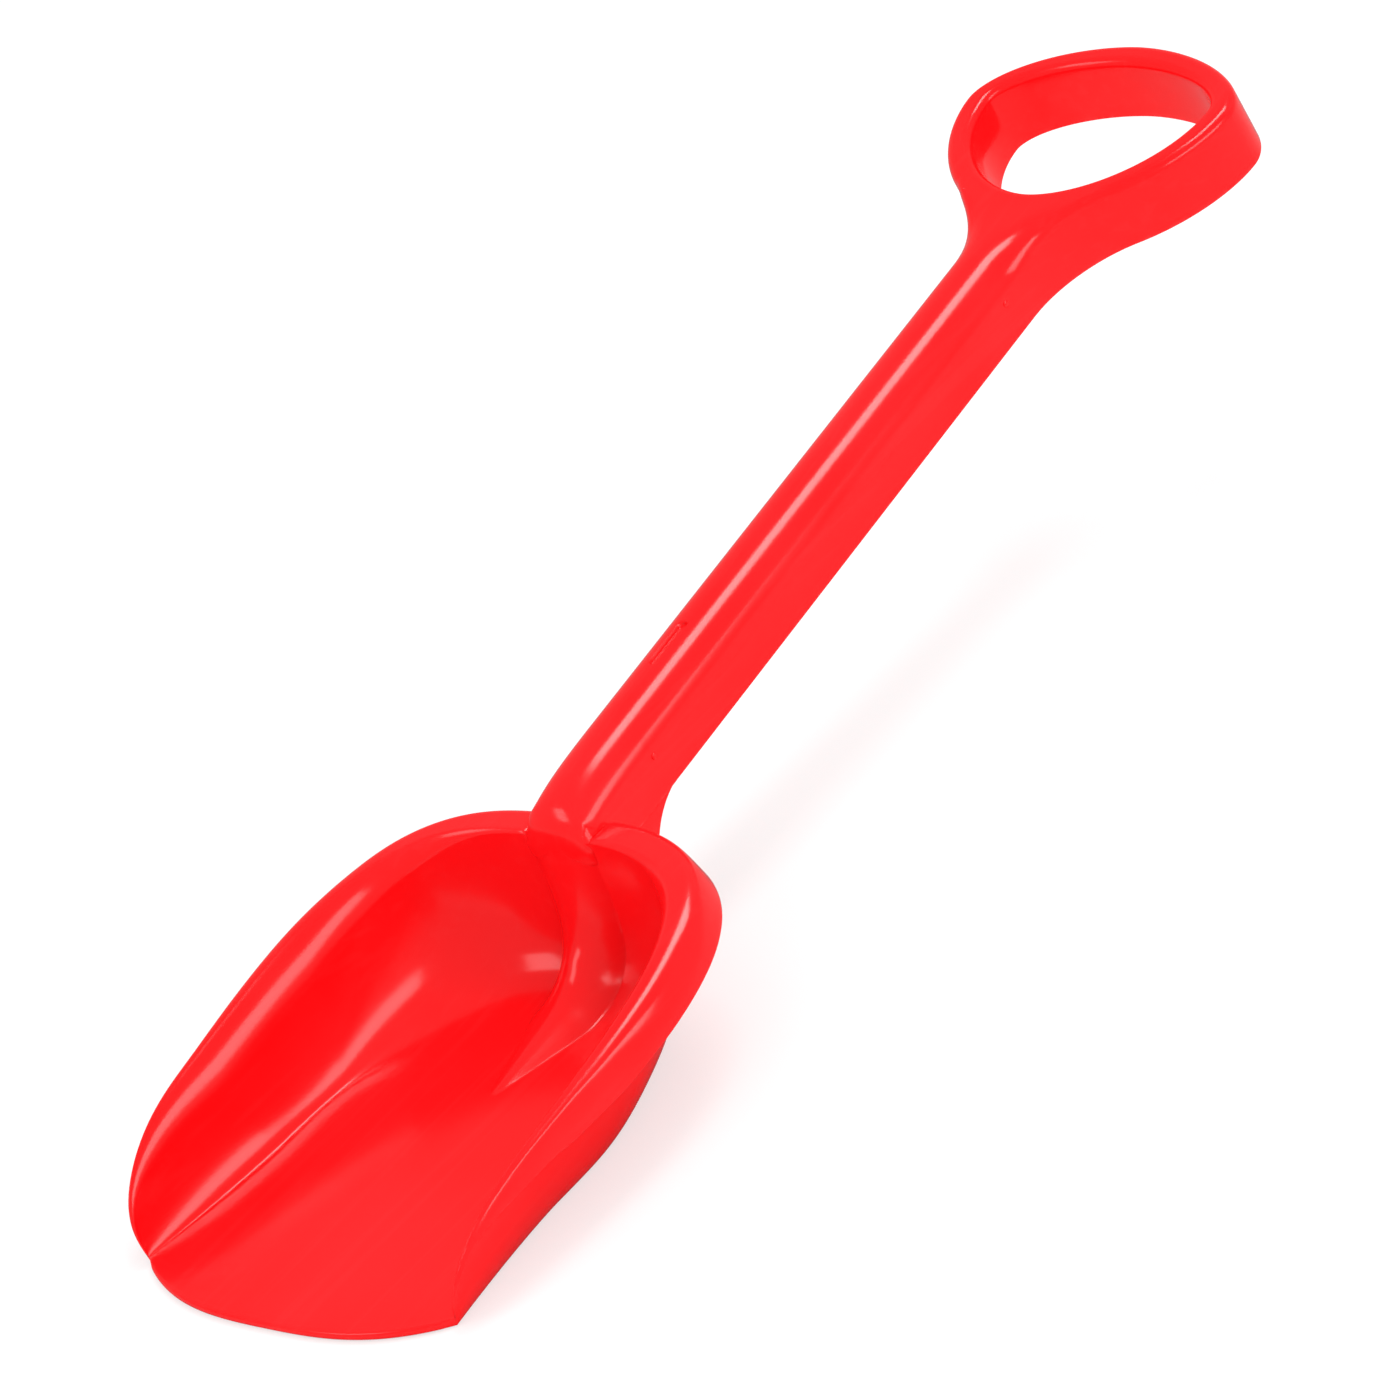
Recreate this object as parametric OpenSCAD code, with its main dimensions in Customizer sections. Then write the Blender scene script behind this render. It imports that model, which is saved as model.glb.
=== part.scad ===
// Toy sand shovel, moulded in one colour: a deep scoop with a turned-down rim,
// a ridge up its back, a channel shaft with a round crown and an egg-shaped ring grip.
// Millimetres. X is across the blade, Y runs from the cutting edge to the grip, Z is up.
// The origin lies on the underside of the flat floor, at the blade's widest station.

/* [Blade] */
// Inside width of the scoop between the rim's inner edges
blade_w = 142; // [120:1:170]
// From the widest station back to the rim's inner edge
back_len = 96; // [84:1:115]
// From the widest station forward to the front corners
side_len = 53; // [49:1:70]
// How far the cutting edge bows out past the front corners
nose_len = 16.5; // [8:0.5:26]
// Width of the flat floor at the widest station
floor_w = 112; // [90:1:118]
// Width of the flat floor at the front corners
floor_front_w = 126; // [116:1:136]
// From the widest station back to the end of the flat floor
floor_back_len = 48; // [40:1:56]
// Height of the rim at the back
back_h = 52; // [46:1:64]
// Height of the rim at the widest station
side_h = 36; // [28:1:44]
// Length over which the side wall rises from the front corner
corner_len = 45; // [35:1:48]
// Moulded wall thickness
wall_t = 2.4; // [1.8:0.1:2.8]

/* [Rim] */
// Width of the turned-down rim at the front corner
rim_front_w = 3.6; // [3.4:0.1:5]
// Width of the rim at the widest station
rim_side_w = 6.6; // [5:0.1:9]
// Width of the rim at the back
rim_back_w = 15; // [11:0.5:19]
// Depth of the rim's skirt along the back half
skirt_h = 13; // [9:0.5:15]
// Length from the front corner over which the skirt gets its full depth
skirt_run = 78; // [55:1:100]

/* [Ridge] */
// Height of the ridge in the corner between back wall and floor
ridge_h = 10; // [6:0.5:12]
// How far the ridge's point reaches on to the flat floor
ridge_tip_len = 12; // [8:0.5:16]
// Length over which the ridge widens from its point
ridge_taper_len = 34; // [26:1:38]
// Width of the ridge at its point
ridge_tip_w = 2; // [1.2:0.1:3]

/* [Shaft] */
// Angle of the shaft above the floor
shaft_pitch = 8.3; // [5:0.1:14]
// Drop of the shaft's lower edge below the rim at the back
neck_drop = 9; // [6:0.5:12]
// Length of the straight shaft
shaft_len = 220; // [150:1:320]
// Width of the shaft at its lower edge
shaft_w = 30; // [28:0.2:36]
// Depth of the shaft from crown to lower edge
shaft_h = 22.5; // [20:0.5:28]
// Radius of the shaft's round crown
crown_r = 12.8; // [11:0.2:13.6]
// Length of the slot in the crown
slot_len = 18; // [10:1:30]
// Width of the slot
slot_w = 3.4; // [2:0.2:5]
// Depth of the slot
slot_depth = 1.2; // [0.6:0.1:1.6]
// From the blade's back to the middle of the slot
slot_s = 56; // [30:1:100]
// Number of cross ribs inside the shaft
rib_count = 6; // [3:1:9]
// Thickness of a cross rib
rib_t = 1.8; // [1.2:0.1:2.6]
// How far a rib stays above the shaft's lower edge
rib_recess = 2.5; // [1:0.5:6]
// Radius of the hollow edge of the neck webs
web_r = 26; // [18:0.5:30]
// From the blade's back to where the neck webs run out
web_run = 27; // [22:0.5:34]
// Drop of the neck webs down the blade's back
web_drop = 20; // [14:0.5:26]
// Step between the shaft's side and the face of a neck web
web_step = 0.6; // [0.3:0.1:1]

/* [Grip] */
// Length of the yoke between shaft and ring
yoke_len = 27; // [20:1:36]
// Width of the yoke where it meets the ring
yoke_w = 58; // [48:1:66]
// Width of the finger hole at its lower edge
hole_w = 87.6; // [75:0.2:100]
// From the hole's widest line to its end at the shaft
hole_front_len = 39.4; // [32:0.2:48]
// From the hole's widest line to its end at the hand bar
hole_back_len = 18.5; // [14:0.5:26]
// Width of the ring's band
band_w = 9.7; // [8.8:0.1:12]
// Depth of the ring
grip_h = 21.8; // [18:0.2:27]
// Radius of the ring's outer top edge
edge_r = 3; // [2:0.2:4]
// Radius of the ring's top edge at the hole
hole_edge_r = 1.8; // [1:0.2:2.6]
// Draft of the hole's wall over the ring's depth
hole_draft = 0.8; // [0.4:0.1:1.4]
// Length over which the ring's edge rounding fades into the yoke
edge_fade_len = 8; // [4:0.5:12]
// Seam left between two pieces that meet end to face
seam = 0.15; // [0.1:0.05:0.3]

/* [Hidden] */
$fn = 64;
toy_red = [1, 0.16, 0.18];
// Overrun of every cut past the face that it opens
overrun = 1;

// Powers of the superellipses that the outlines and sections follow
rim_plan_power = 3.3;
floor_plan_power = 4;
nose_power = 2.9;
corner_power = 2.5;
wall_front_power = 1.15;
wall_side_power = 1.35;
wall_back_power = 4.5;
wall_spread_power = 3.5;
rim_spread_power = 0.75;
splay_power = 1.4;
roll_power = 4.5;
flat_power = 6;
flare_power = 3;
hole_power = 1.83;
column_spread_power = 1.3;
// Share of the edge radius that is left where the yoke runs into the ring
edge_end_share = 0.08;
// Sweep of the hollow edge of the neck webs
web_sweep = 70;
// Least share of the rim's width and depth that stays open under it
rim_gap_share = 0.2;
// Share of its height that the wall has where it starts at the front corner
corner_start_share = 0.1;
// Rise of the ridge as shares of its height, along shares of its run
ridge_rise_shares = [[0, 0], [0.08, 0.1], [0.19, 0.3], [0.31, 0.5], [0.42, 0.68], [0.54, 1],
    [0.66, 0.78], [0.79, 0.48], [0.92, 0.3], [1, 0.27]];
// Steps of the knee's foot line, as shares of the bend, along its four corners
knee_foot_shares = [[0, 0], [0.22, 1], [0.44, 2], [1, 3]];

// Counts of columns, rows and stations
corner_columns = 9;
side_columns = 2;
back_columns = 15;
wall_rows = 10;
rim_rows = 7;
tip_stations = 4;
knee_stations = 9;
yoke_stations = 6;
ridge_steps = 12;
arch_steps = 20;
nose_steps = 24;
ring_steps = 72;
web_steps = 10;
edge_steps = 4;

half_w = blade_w / 2;
half_floor = floor_w / 2;
half_front = floor_front_w / 2;
half_shaft = shaft_w / 2;
tip_y = floor_back_len - ridge_tip_len;
neck_y = back_len + rim_back_w;
neck_z = back_h - neck_drop;
grip_s = shaft_len + yoke_len + band_w + hole_front_len;

function mix(a, b, t) = a + (b - a) * t;
function power_arc(t, p) = pow(max(0, 1 - pow(abs(t), p)), 1 / p);
function spow(v, p) = sign(v) * pow(abs(v), p);

// Point of the shaft's own frame: across, along and above its lower edge
function on_shaft(x, s, w) = [
    x,
    neck_y + s * cos(shaft_pitch) - w * sin(shaft_pitch),
    neck_z + s * sin(shaft_pitch) + w * cos(shaft_pitch)];
// Height of a point above the plane of the shaft's lower edges
function above_edge(y, z) = (z - neck_z) * cos(shaft_pitch) - (y - neck_y) * sin(shaft_pitch);
// Half width of the drafted shaft side at that height
function side_x(y, z) = mix(half_shaft, crown_r,
    max(0, min(1, above_edge(y, z) / (shaft_h - crown_r))));

// Half width of the ridge along the floor
function ridge_x(y) = mix(ridge_tip_w / 2, crown_r,
    max(0, min(1, (y - tip_y) / ridge_taper_len)));

// Columns run from a front corner (-1) past the widest station (0) to the ridge (1)
columns = concat(
    [for (i = [0 : corner_columns]) -1 + corner_len / side_len * (1 - cos(90 * i / corner_columns))],
    [for (i = [1 : side_columns]) (corner_len / side_len - 1) * (1 - i / side_columns)],
    [for (i = [1 : back_columns]) pow(i / back_columns, column_spread_power)]);
last_column = len(columns) - 1;

rim_end_angle = acos(pow(crown_r / half_w, rim_plan_power / 2));
floor_end_angle = acos(pow(ridge_x(floor_back_len) / half_floor, floor_plan_power / 2));

// Flat floor's edge in plan
function floor_edge(c) = c < 0
    ? [mix(half_floor, half_front, pow(-c, splay_power)), c * side_len]
    : [half_floor * pow(cos(floor_end_angle * c), 2 / floor_plan_power),
        floor_back_len * pow(sin(floor_end_angle * c), 2 / floor_plan_power)];

function rim_line_h(y) = mix(side_h, back_h, y / back_len);
// Share of the full rim height that a column reaches at the rounded front corner
function corner_rise(c) = c * side_len >= corner_len - side_len ? 1
    : max(corner_start_share,
        power_arc((corner_len - side_len - c * side_len) / corner_len, corner_power));

// Inner edge of the rim
function rim_edge(c) =
    let (f = corner_rise(c), foot = floor_edge(c),
        x = half_w * pow(cos(rim_end_angle * c), 2 / rim_plan_power),
        y = back_len * pow(max(0, sin(rim_end_angle * c)), 2 / rim_plan_power))
    c < 0
        ? [mix(foot[0], half_w, f), foot[1], mix(wall_t, rim_line_h(foot[1]), f)]
        : [x, y, rim_line_h(y)];

// Outward direction of the rim in plan
function rim_out(c) =
    let (a = rim_end_angle * max(0, c), e = 2 - 2 / rim_plan_power,
        v = [pow(cos(a), e) / half_w, pow(sin(a), e) / back_len])
    v / norm(v);

function rim_w(y) = y < 0 ? mix(rim_side_w, rim_front_w, -y / side_len)
    : mix(rim_side_w, rim_back_w, pow(y / back_len, rim_spread_power));
function rim_h(y) = mix(wall_t, skirt_h, min(1, (y + side_len) / skirt_run));
function wall_power(c) = c < 0 ? mix(wall_side_power, wall_front_power, -c)
    : mix(wall_side_power, wall_back_power, pow(c, wall_spread_power));

// Corner under the rim where the wall's outside meets the rim's underside
function rim_corner(c) =
    let (r = rim_edge(c), o = rim_out(c))
    [r[0] + wall_t * o[0], r[1] + wall_t * o[1], r[2] - wall_t];

// The last column follows the ridge's foot, or the shaft's side, instead of its own width
function wall_x(c, x, y) = c == 1 ? ridge_x(y) : x;

function wall_column(c, top, base_z) =
    let (foot = floor_edge(c), p = wall_power(c))
    [for (j = [0 : wall_rows])
        let (a = 90 * j / wall_rows, run = pow(sin(a), 2 / p), rise = 1 - pow(cos(a), 2 / p),
            y = mix(foot[1], top[1], run))
        [wall_x(c, mix(foot[0], top[0], run), y), y, mix(base_z, top[2], rise)]];
function wall_inside(c) = wall_column(c, rim_edge(c), wall_t);
function wall_outside(c) = wall_column(c, rim_corner(c), 0);

function roll_point(c, start, w, h, j) =
    let (a = 90 * j / rim_rows, o = rim_out(c),
        run = w * pow(sin(a), 2 / roll_power), z = start[2] - h * (1 - pow(cos(a), 2 / roll_power)),
        y = start[1] + run * o[1])
    [c == 1 ? (j == 0 ? crown_r : side_x(y, z) + seam) : start[0] + run * o[0], y, z];
function rim_upper(c) =
    let (r = rim_edge(c))
    [for (j = [0 : rim_rows]) roll_point(c, r, rim_w(r[1]), rim_h(r[1]), j)];
function rim_lower(c) =
    let (r = rim_edge(c), w = rim_w(r[1]), h = rim_h(r[1]))
    [for (j = [0 : rim_rows]) roll_point(c, rim_corner(c),
        max(w - 2 * wall_t, w * rim_gap_share), max(h - wall_t, h * rim_gap_share), j)];

// Closed sheet between two grids of points, the first on its outer side
module sheet(outer, inner) {
    rows = len(outer) - 1;
    steps = len(outer[0]) - 1;
    span = steps + 1;
    base = (rows + 1) * span;
    points = concat([for (r = outer) for (p = r) p], [for (r = inner) for (p = r) p]);
    skin = [for (i = [0 : rows - 1]) for (j = [0 : steps - 1])
        let (a = i * span + j, b = a + span, c = b + 1, d = a + 1)
        each [[a, c, b], [a, d, c], [base + a, base + b, base + c], [base + a, base + c, base + d]]];
    sides = [for (i = [0 : rows - 1])
        let (a = i * span, b = a + span, c = a + steps, d = b + steps)
        each [[a, b, base + b], [a, base + b, base + a], [c, base + d, d], [c, base + c, base + d]]];
    ends = [for (j = [0 : steps - 1])
        let (a = j, b = j + 1, c = rows * span + j, d = c + 1)
        each [[a, base + b, b], [a, base + a, base + b], [c, d, base + d], [c, base + d, base + c]]];
    polyhedron(points, concat(skin, sides, ends), convexity = 6);
}

// Flat floor with the bowed cutting edge and the notch for the ridge's point
function nose_point(t) = [half_front * t, -side_len - nose_len * (1 - pow(abs(t), nose_power))];
right_edge = [for (c = columns) floor_edge(c)];
floor_outline = concat(
    [for (i = [1 : nose_steps - 1]) nose_point(2 * i / nose_steps - 1)],
    right_edge,
    [[ridge_tip_w / 2, tip_y], [-ridge_tip_w / 2, tip_y]],
    [for (i = [last_column : -1 : 0]) [-right_edge[i][0], right_edge[i][1]]]);

module floor() {
    color(toy_red)
        linear_extrude(wall_t)
            polygon(floor_outline);
}

module wall_right() {
    color(toy_red)
        sheet([for (c = columns) wall_outside(c)], [for (c = columns) wall_inside(c)]);
}

module wall_left() {
    mirror([1, 0, 0])
        wall_right();
}

module rim_right() {
    color(toy_red)
        sheet([for (c = columns) rim_lower(c)], [for (c = columns) rim_upper(c)]);
}

module rim_left() {
    mirror([1, 0, 0])
        rim_right();
}

// Unit arches from the right foot over the top to the left foot: the shaft's section with
// straight sides and round crown, a plain half ellipse, and a flat top with round corners
shaft_arch = concat([[1, 0]],
    [for (i = [0 : arch_steps - 2]) let (a = 180 * i / (arch_steps - 2))
        [crown_r / half_shaft * cos(a), 1 - crown_r / shaft_h * (1 - sin(a))]],
    [[-1, 0]]);
round_arch = [for (i = [0 : arch_steps]) let (a = 180 * i / arch_steps) [cos(a), sin(a)]];
flat_arch = [for (i = [0 : arch_steps]) let (a = 180 * i / arch_steps)
    [cos(a), power_arc(cos(a), flat_power)]];

function arch_section(arch, half, h) = [for (p = arch) [half * p[0], h * p[1]]];
function reversed(v) = [for (i = [len(v) - 1 : -1 : 0]) v[i]];

// Centre line of the back wall, inside and outside, from the ridge's point to the rim
floor_foot = [for (i = [0 : tip_stations - 1]) mix(tip_y, floor_edge(1)[1], i / tip_stations)];
foot_inside = concat([for (y = floor_foot) [ridge_x(y), y, wall_t]], wall_inside(1));
foot_outside = concat([for (y = floor_foot) [ridge_x(y), y, 0]], wall_outside(1));
last_station = len(foot_inside) - 1;
function run_to(i) = i == 0 ? 0 : run_to(i - 1) + norm(foot_inside[i] - foot_inside[i - 1]);
function ridge_rise(i) = ridge_h * lookup(run_to(i) / run_to(last_station), ridge_rise_shares);
// Direction square to the wall at a station of the ridge
function ridge_normal(i) =
    let (a = foot_inside[max(0, i - 1)], b = foot_inside[min(last_station, i + 1)],
        v = i == last_station ? [-1, 0] : [a[2] - b[2], b[1] - a[1]])
    v / norm(v);
function ridge_point(foot, half, i, p) =
    let (n = ridge_normal(i), h = ridge_rise(i) * p[1])
    [half * p[0], foot[1] + n[0] * h, foot[2] + n[1] * h];
// The skin of the ridge has a short flat foot under it on each side
foot_share = 1 - wall_t / crown_r;
function ridge_arch(steps) = [for (i = [0 : steps]) let (x = 1 - 2 * i / steps) [x, power_arc(x, 2)]];
function ridge_upper(i) =
    [for (p = ridge_arch(ridge_steps + 2)) ridge_point(foot_inside[i], foot_inside[i][0], i, p)];
function ridge_lower(i) =
    let (foot = foot_outside[i], half = foot[0])
    concat([[half, foot[1], foot[2]]],
        [for (p = ridge_arch(ridge_steps)) ridge_point(foot, half * foot_share, i, p)],
        [[-half, foot[1], foot[2]]]);

module ridge() {
    color(toy_red)
        sheet([for (i = [0 : last_station]) ridge_upper(i)], [for (i = [0 : last_station]) ridge_lower(i)]);
}

// Knee: the shaft's channel runs on to the back wall while its crown bends down into the ridge
neck_back = on_shaft(0, 0, 0);
wall_back_y = foot_outside[last_station][1];
neck_front = [0, wall_back_y, neck_z - (neck_y - wall_back_y) * tan(shaft_pitch)];
top_inside = foot_inside[last_station];
top_outside = foot_outside[last_station];
knee_corners = [neck_back, neck_front, top_outside, top_inside];
function knee_foot(t) =
    let (k = lookup(t, knee_foot_shares), i = min(2, floor(k)))
    mix(knee_corners[i], knee_corners[i + 1], k - i);
function bend(from, to, t) = [0, mix(from[1], to[1], sin(90 * t)), mix(to[2], from[2], cos(90 * t))];
function knee_arch(t) = [for (i = [0 : arch_steps]) mix(shaft_arch[i], round_arch[i], t * t)];
function knee_section(t, foot, top, half) =
    [for (p = knee_arch(t))
        [half * p[0], mix(foot[1], top[1], p[1]), mix(foot[2], top[2], p[1]) + seam * t]];
ridge_top_rise = [0, -ridge_rise(last_station), 0];
function knee_outer(t) =
    let (foot = knee_foot(t))
    knee_section(t, foot, bend(on_shaft(0, 0, shaft_h), top_inside + ridge_top_rise, t),
        side_x(foot[1], foot[2]));
function knee_inner(t) =
    let (foot = knee_foot(min(t, knee_foot_shares[2][0])))
    knee_section(t, foot, bend(on_shaft(0, 0, shaft_h - wall_t), top_outside + ridge_top_rise, t),
        mix(half_shaft, crown_r, t) - wall_t);

module knee() {
    stations = [for (i = [0 : knee_stations]) i / knee_stations];
    color(toy_red)
        sheet([for (t = stations) knee_inner(t)], [for (t = stations) knee_outer(t)]);
}

// Frame of the shaft for plain shapes: across, along and above the lower edge
module in_shaft() {
    translate([0, neck_y, neck_z])
        rotate([shaft_pitch, 0, 0])
            children();
}

// Section drawn across the shaft, extruded along it
module along_shaft(from, length) {
    in_shaft()
        translate([0, from + length, 0])
            rotate([90, 0, 0])
                linear_extrude(length)
                    children();
}

// Plates under the shaft's sides: they lie against the blade's back and their hollow edge
// runs out along the shaft's lower edge
web_outline = concat(
    [[neck_front[1], neck_front[2]]],
    [for (i = [0 : web_steps])
        let (a = 90 + web_sweep * i / web_steps,
            p = on_shaft(0, web_run + web_r * cos(a), web_r * (sin(a) - 1)))
        [p[1], p[2]]],
    [for (p = foot_outside)
        if (above_edge(p[1], p[2]) < 0 && above_edge(p[1], p[2]) > -web_drop) [p[1], p[2]]]);

module neck_webs() {
    color(toy_red)
        for (side = [0, 1])
            mirror([side, 0, 0])
                translate([half_shaft - wall_t, 0, 0])
                    rotate([90, 0, 90])
                        linear_extrude(wall_t - web_step)
                            polygon(web_outline);
}

module slot_outline() {
    square([slot_w, slot_len - slot_w], center = true);
    for (end = [-1, 1])
        translate([0, end * (slot_len - slot_w) / 2])
            circle(slot_w / 2);
}

module shaft() {
    color(toy_red)
        difference() {
            along_shaft(0, shaft_len)
                polygon(concat(arch_section(shaft_arch, half_shaft, shaft_h),
                    reversed(arch_section(shaft_arch, half_shaft - wall_t, shaft_h - wall_t))));
            in_shaft()
                translate([0, slot_s, shaft_h - slot_depth])
                    linear_extrude(slot_depth + overrun)
                        slot_outline();
        }
}

// Cross ribs that stiffen the open underside of the shaft
module shaft_ribs() {
    pitch = shaft_len / (rib_count + 1);
    color(toy_red)
        for (i = [1 : rib_count])
            along_shaft(i * pitch - rib_t / 2, rib_t)
                intersection() {
                    polygon(arch_section(shaft_arch, half_shaft - wall_t, shaft_h - wall_t));
                    translate([-half_shaft, rib_recess])
                        square([shaft_w, shaft_h]);
                }
}

// Egg-shaped outlines of the ring, widest at grip_s
function egg(a, grow) =
    let (e = 2 / hole_power, reach = sin(a) > 0 ? hole_back_len : hole_front_len)
    [(hole_w / 2 + grow) * spow(cos(a), e), grip_s + (reach + grow) * spow(sin(a), e)];
// Station of the ring's outer face towards the shaft
function ring_front_s(x) =
    grip_s - (hole_front_len + band_w) * power_arc(x / (hole_w / 2 + band_w), hole_power);
// The ring's outer edge loses its rounding where the yoke runs into it
function ring_edge_r(p) =
    let (t = p[1] > grip_s ? 1 : (abs(p[0]) - yoke_w / 2) / edge_fade_len)
    edge_r * max(edge_end_share, min(1, t));

// Yoke: the shaft's section flares and flattens until it meets the ring
function yoke_station(t, half, h_start, h_end, end_half) =
    [for (i = [0 : arch_steps])
        let (p = mix(shaft_arch[i], flat_arch[i], t * t), end_p = flat_arch[i],
            w = mix(h_start, h_end, t) * p[1],
            end_s = ring_front_s(end_half * end_p[0]) - seam)
        on_shaft(half * p[0], mix(shaft_len, end_s, t), w)];
function yoke_half(t) = mix(half_shaft, yoke_w / 2, pow(t, flare_power));

module yoke() {
    stations = [for (i = [0 : yoke_stations]) i / yoke_stations];
    color(toy_red)
        sheet(
            [for (t = stations) yoke_station(t, yoke_half(t), shaft_h, grip_h, yoke_half(1))],
            [for (t = stations) yoke_station(t, yoke_half(t) - wall_t, shaft_h - wall_t, grip_h - wall_t,
                yoke_half(1) - wall_t)]);
}

// Section of the ring's band as distance from the hole and height: an open channel
function ring_section(r) = concat(
    [[0, 0]],
    [for (i = [0 : edge_steps]) let (a = 90 * i / edge_steps)
        [hole_draft + hole_edge_r * (1 - cos(a)), grip_h - hole_edge_r * (1 - sin(a))]],
    [for (i = [0 : edge_steps]) let (a = 90 * i / edge_steps)
        [band_w - r * (1 - sin(a)), grip_h - r * (1 - cos(a))]],
    [[band_w, 0], [band_w - wall_t, 0], [band_w - wall_t, grip_h - wall_t],
        [hole_draft + wall_t, grip_h - wall_t], [wall_t, 0]]);

module grip() {
    count = len(ring_section(edge_r));
    points = [for (i = [0 : ring_steps - 1])
        let (a = 360 * i / ring_steps, p = egg(a, 0), q = egg(a, band_w))
        for (k = ring_section(ring_edge_r(q)))
            let (r = mix(p, q, k[0] / band_w))
            on_shaft(r[0], r[1], k[1])];
    faces = [for (i = [0 : ring_steps - 1]) for (j = [0 : count - 1])
        let (i2 = (i + 1) % ring_steps, j2 = (j + 1) % count,
            a = i * count + j, b = i2 * count + j, c = i2 * count + j2, d = i * count + j2)
        each [[a, b, c], [a, c, d]]];
    color(toy_red)
        polyhedron(points, faces, convexity = 8);
}

floor();
wall_right();
wall_left();
rim_right();
rim_left();
ridge();
knee();
neck_webs();
shaft();
shaft_ribs();
yoke();
grip();
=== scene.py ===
"""Looks of a moulded sand shovel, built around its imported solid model.

The scoop, the handle with its ring grip, the webs under the neck, the ribs inside the shaft and
the moulding marks are made as smooth closed skins in the frame of the solid model.
Lengths are millimetres in the classes and become metres when a mesh is made.
"""

from __future__ import annotations

import logging
import math
from dataclasses import dataclass, field
from enum import Enum
from typing import Any, Sequence, Union

import bmesh
import bpy
import numpy as np
from mathutils import Matrix, Vector

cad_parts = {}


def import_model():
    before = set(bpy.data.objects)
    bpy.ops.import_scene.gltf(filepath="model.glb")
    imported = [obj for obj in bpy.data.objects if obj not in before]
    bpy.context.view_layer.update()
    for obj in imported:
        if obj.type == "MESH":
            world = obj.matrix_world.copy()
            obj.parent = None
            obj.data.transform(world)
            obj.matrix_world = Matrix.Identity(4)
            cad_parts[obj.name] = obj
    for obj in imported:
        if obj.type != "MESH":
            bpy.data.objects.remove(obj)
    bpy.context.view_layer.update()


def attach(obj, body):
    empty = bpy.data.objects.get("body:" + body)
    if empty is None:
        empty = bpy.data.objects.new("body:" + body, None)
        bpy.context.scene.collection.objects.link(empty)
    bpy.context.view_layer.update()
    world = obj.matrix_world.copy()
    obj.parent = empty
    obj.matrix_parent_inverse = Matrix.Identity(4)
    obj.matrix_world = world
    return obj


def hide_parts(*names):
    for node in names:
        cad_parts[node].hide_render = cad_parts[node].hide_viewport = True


LOG = logging.getLogger("sand_shovel")

MM = 0.001
BODY = "root"
SLOT = "moulded_plastic"
MERGE = 1e-6
TINY = 1e-9
STRAIGHT = 1e-4
SHARP_SKIN = 42.0
SHARP_PLATE = 30.0
BLUR_SAMPLES = 21
FILLET_CAPS = (0.85, 0.6)
QUARTER = math.pi / 2
UP = np.array([0.0, 0.0, 1.0])

Number = Union[float, np.ndarray]
Pair = tuple[float, float]
Triple = tuple[float, float, float]
Colour = tuple[float, float, float, float]
Table = Sequence[Pair]
Rows = list[np.ndarray]


class Side(Enum):
    """Sides of the shovel's middle plane."""

    RIGHT = 1.0
    LEFT = -1.0


class Ray(Enum):
    """Kinds of ray a studio surface may answer differently."""

    CAMERA = "Is Camera Ray"
    GLOSSY = "Is Glossy Ray"
    TRANSMISSION = "Is Transmission Ray"


def mix(a: Any, b: Any, t: Any) -> Any:
    """Returns the value that lies a share t of the way from a to b."""
    return a + (b - a) * t


def clamp(v: Any, low: float = 0.0, high: float = 1.0) -> Any:
    """Returns v held between low and high."""
    return np.clip(v, low, high)


def ease(t: Any) -> Any:
    """Returns a share t with soft ends."""
    t = clamp(t)
    return t * t * (3.0 - 2.0 * t)


def unit(v: np.ndarray) -> np.ndarray:
    """Returns a vector scaled to length 1."""
    return v / np.linalg.norm(v)


def power_arc(t: Any, power: float) -> Any:
    """Returns the height of a unit superellipse over its half width t."""
    return np.maximum(0.0, 1.0 - np.abs(t) ** power) ** (1.0 / power)


def signed_power(v: float, power: float) -> float:
    """Returns v raised to a power with its sign kept."""
    return math.copysign(abs(v) ** power, v)


def bow(angle: float, power: float, half: float, reach: float) -> np.ndarray:
    """Returns a point of a quarter superellipse, across and along."""
    e = 2 / power
    return np.array([half * math.cos(angle) ** e, reach * math.sin(angle) ** e])


def read_table(table: Table, at: float) -> float:
    """Reads a table of places and values, straight between its points."""
    places, values = np.array(table, dtype=float).T
    return float(np.interp(at, places, values))


def soft_table(table: Table, at: np.ndarray, width: float) -> np.ndarray:
    """Reads a table of points as a curve without corners.

    Args:
        table: Places and values, by rising place from 0 to 1.
        at: Places to read.
        width: Half width of the smoothing, as a share of the table.

    Returns:
        The smoothed values.
    """
    places, values = np.array(table, dtype=float).T
    offsets = np.linspace(-width, width, BLUR_SAMPLES)
    weights = np.cos(offsets / width * QUARTER) ** 2
    total = sum(w * np.interp(at + o, places, values) for o, w in zip(offsets, weights))
    return total / weights.sum()


def hermite(p0: np.ndarray, m0: np.ndarray, p1: np.ndarray, m1: np.ndarray, t: float) -> np.ndarray:
    """Reads a cubic curve given by its ends and end tangents.

    Args:
        p0: First end.
        m0: Tangent at the first end.
        p1: Last end.
        m1: Tangent at the last end.
        t: Share of the way.

    Returns:
        The point on the curve.
    """
    a = 2 * t**3 - 3 * t**2 + 1
    b = t**3 - 2 * t**2 + t
    c = 3 * t**2 - 2 * t**3
    d = t**3 - t**2
    return a * p0 + b * m0 + c * p1 + d * m1


def segment(a: np.ndarray, b: np.ndarray, count: int) -> Rows:
    """Cuts a straight line into points, without its start."""
    return [mix(a, b, i / count) for i in range(1, count + 1)]


def bezier(a: np.ndarray, control: np.ndarray, b: np.ndarray, count: int) -> Rows:
    """Cuts a curve with one control point into points, without its start."""
    shares = [i / count for i in range(1, count + 1)]
    return [mix(mix(a, control, t), mix(control, b, t), t) for t in shares]


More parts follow.
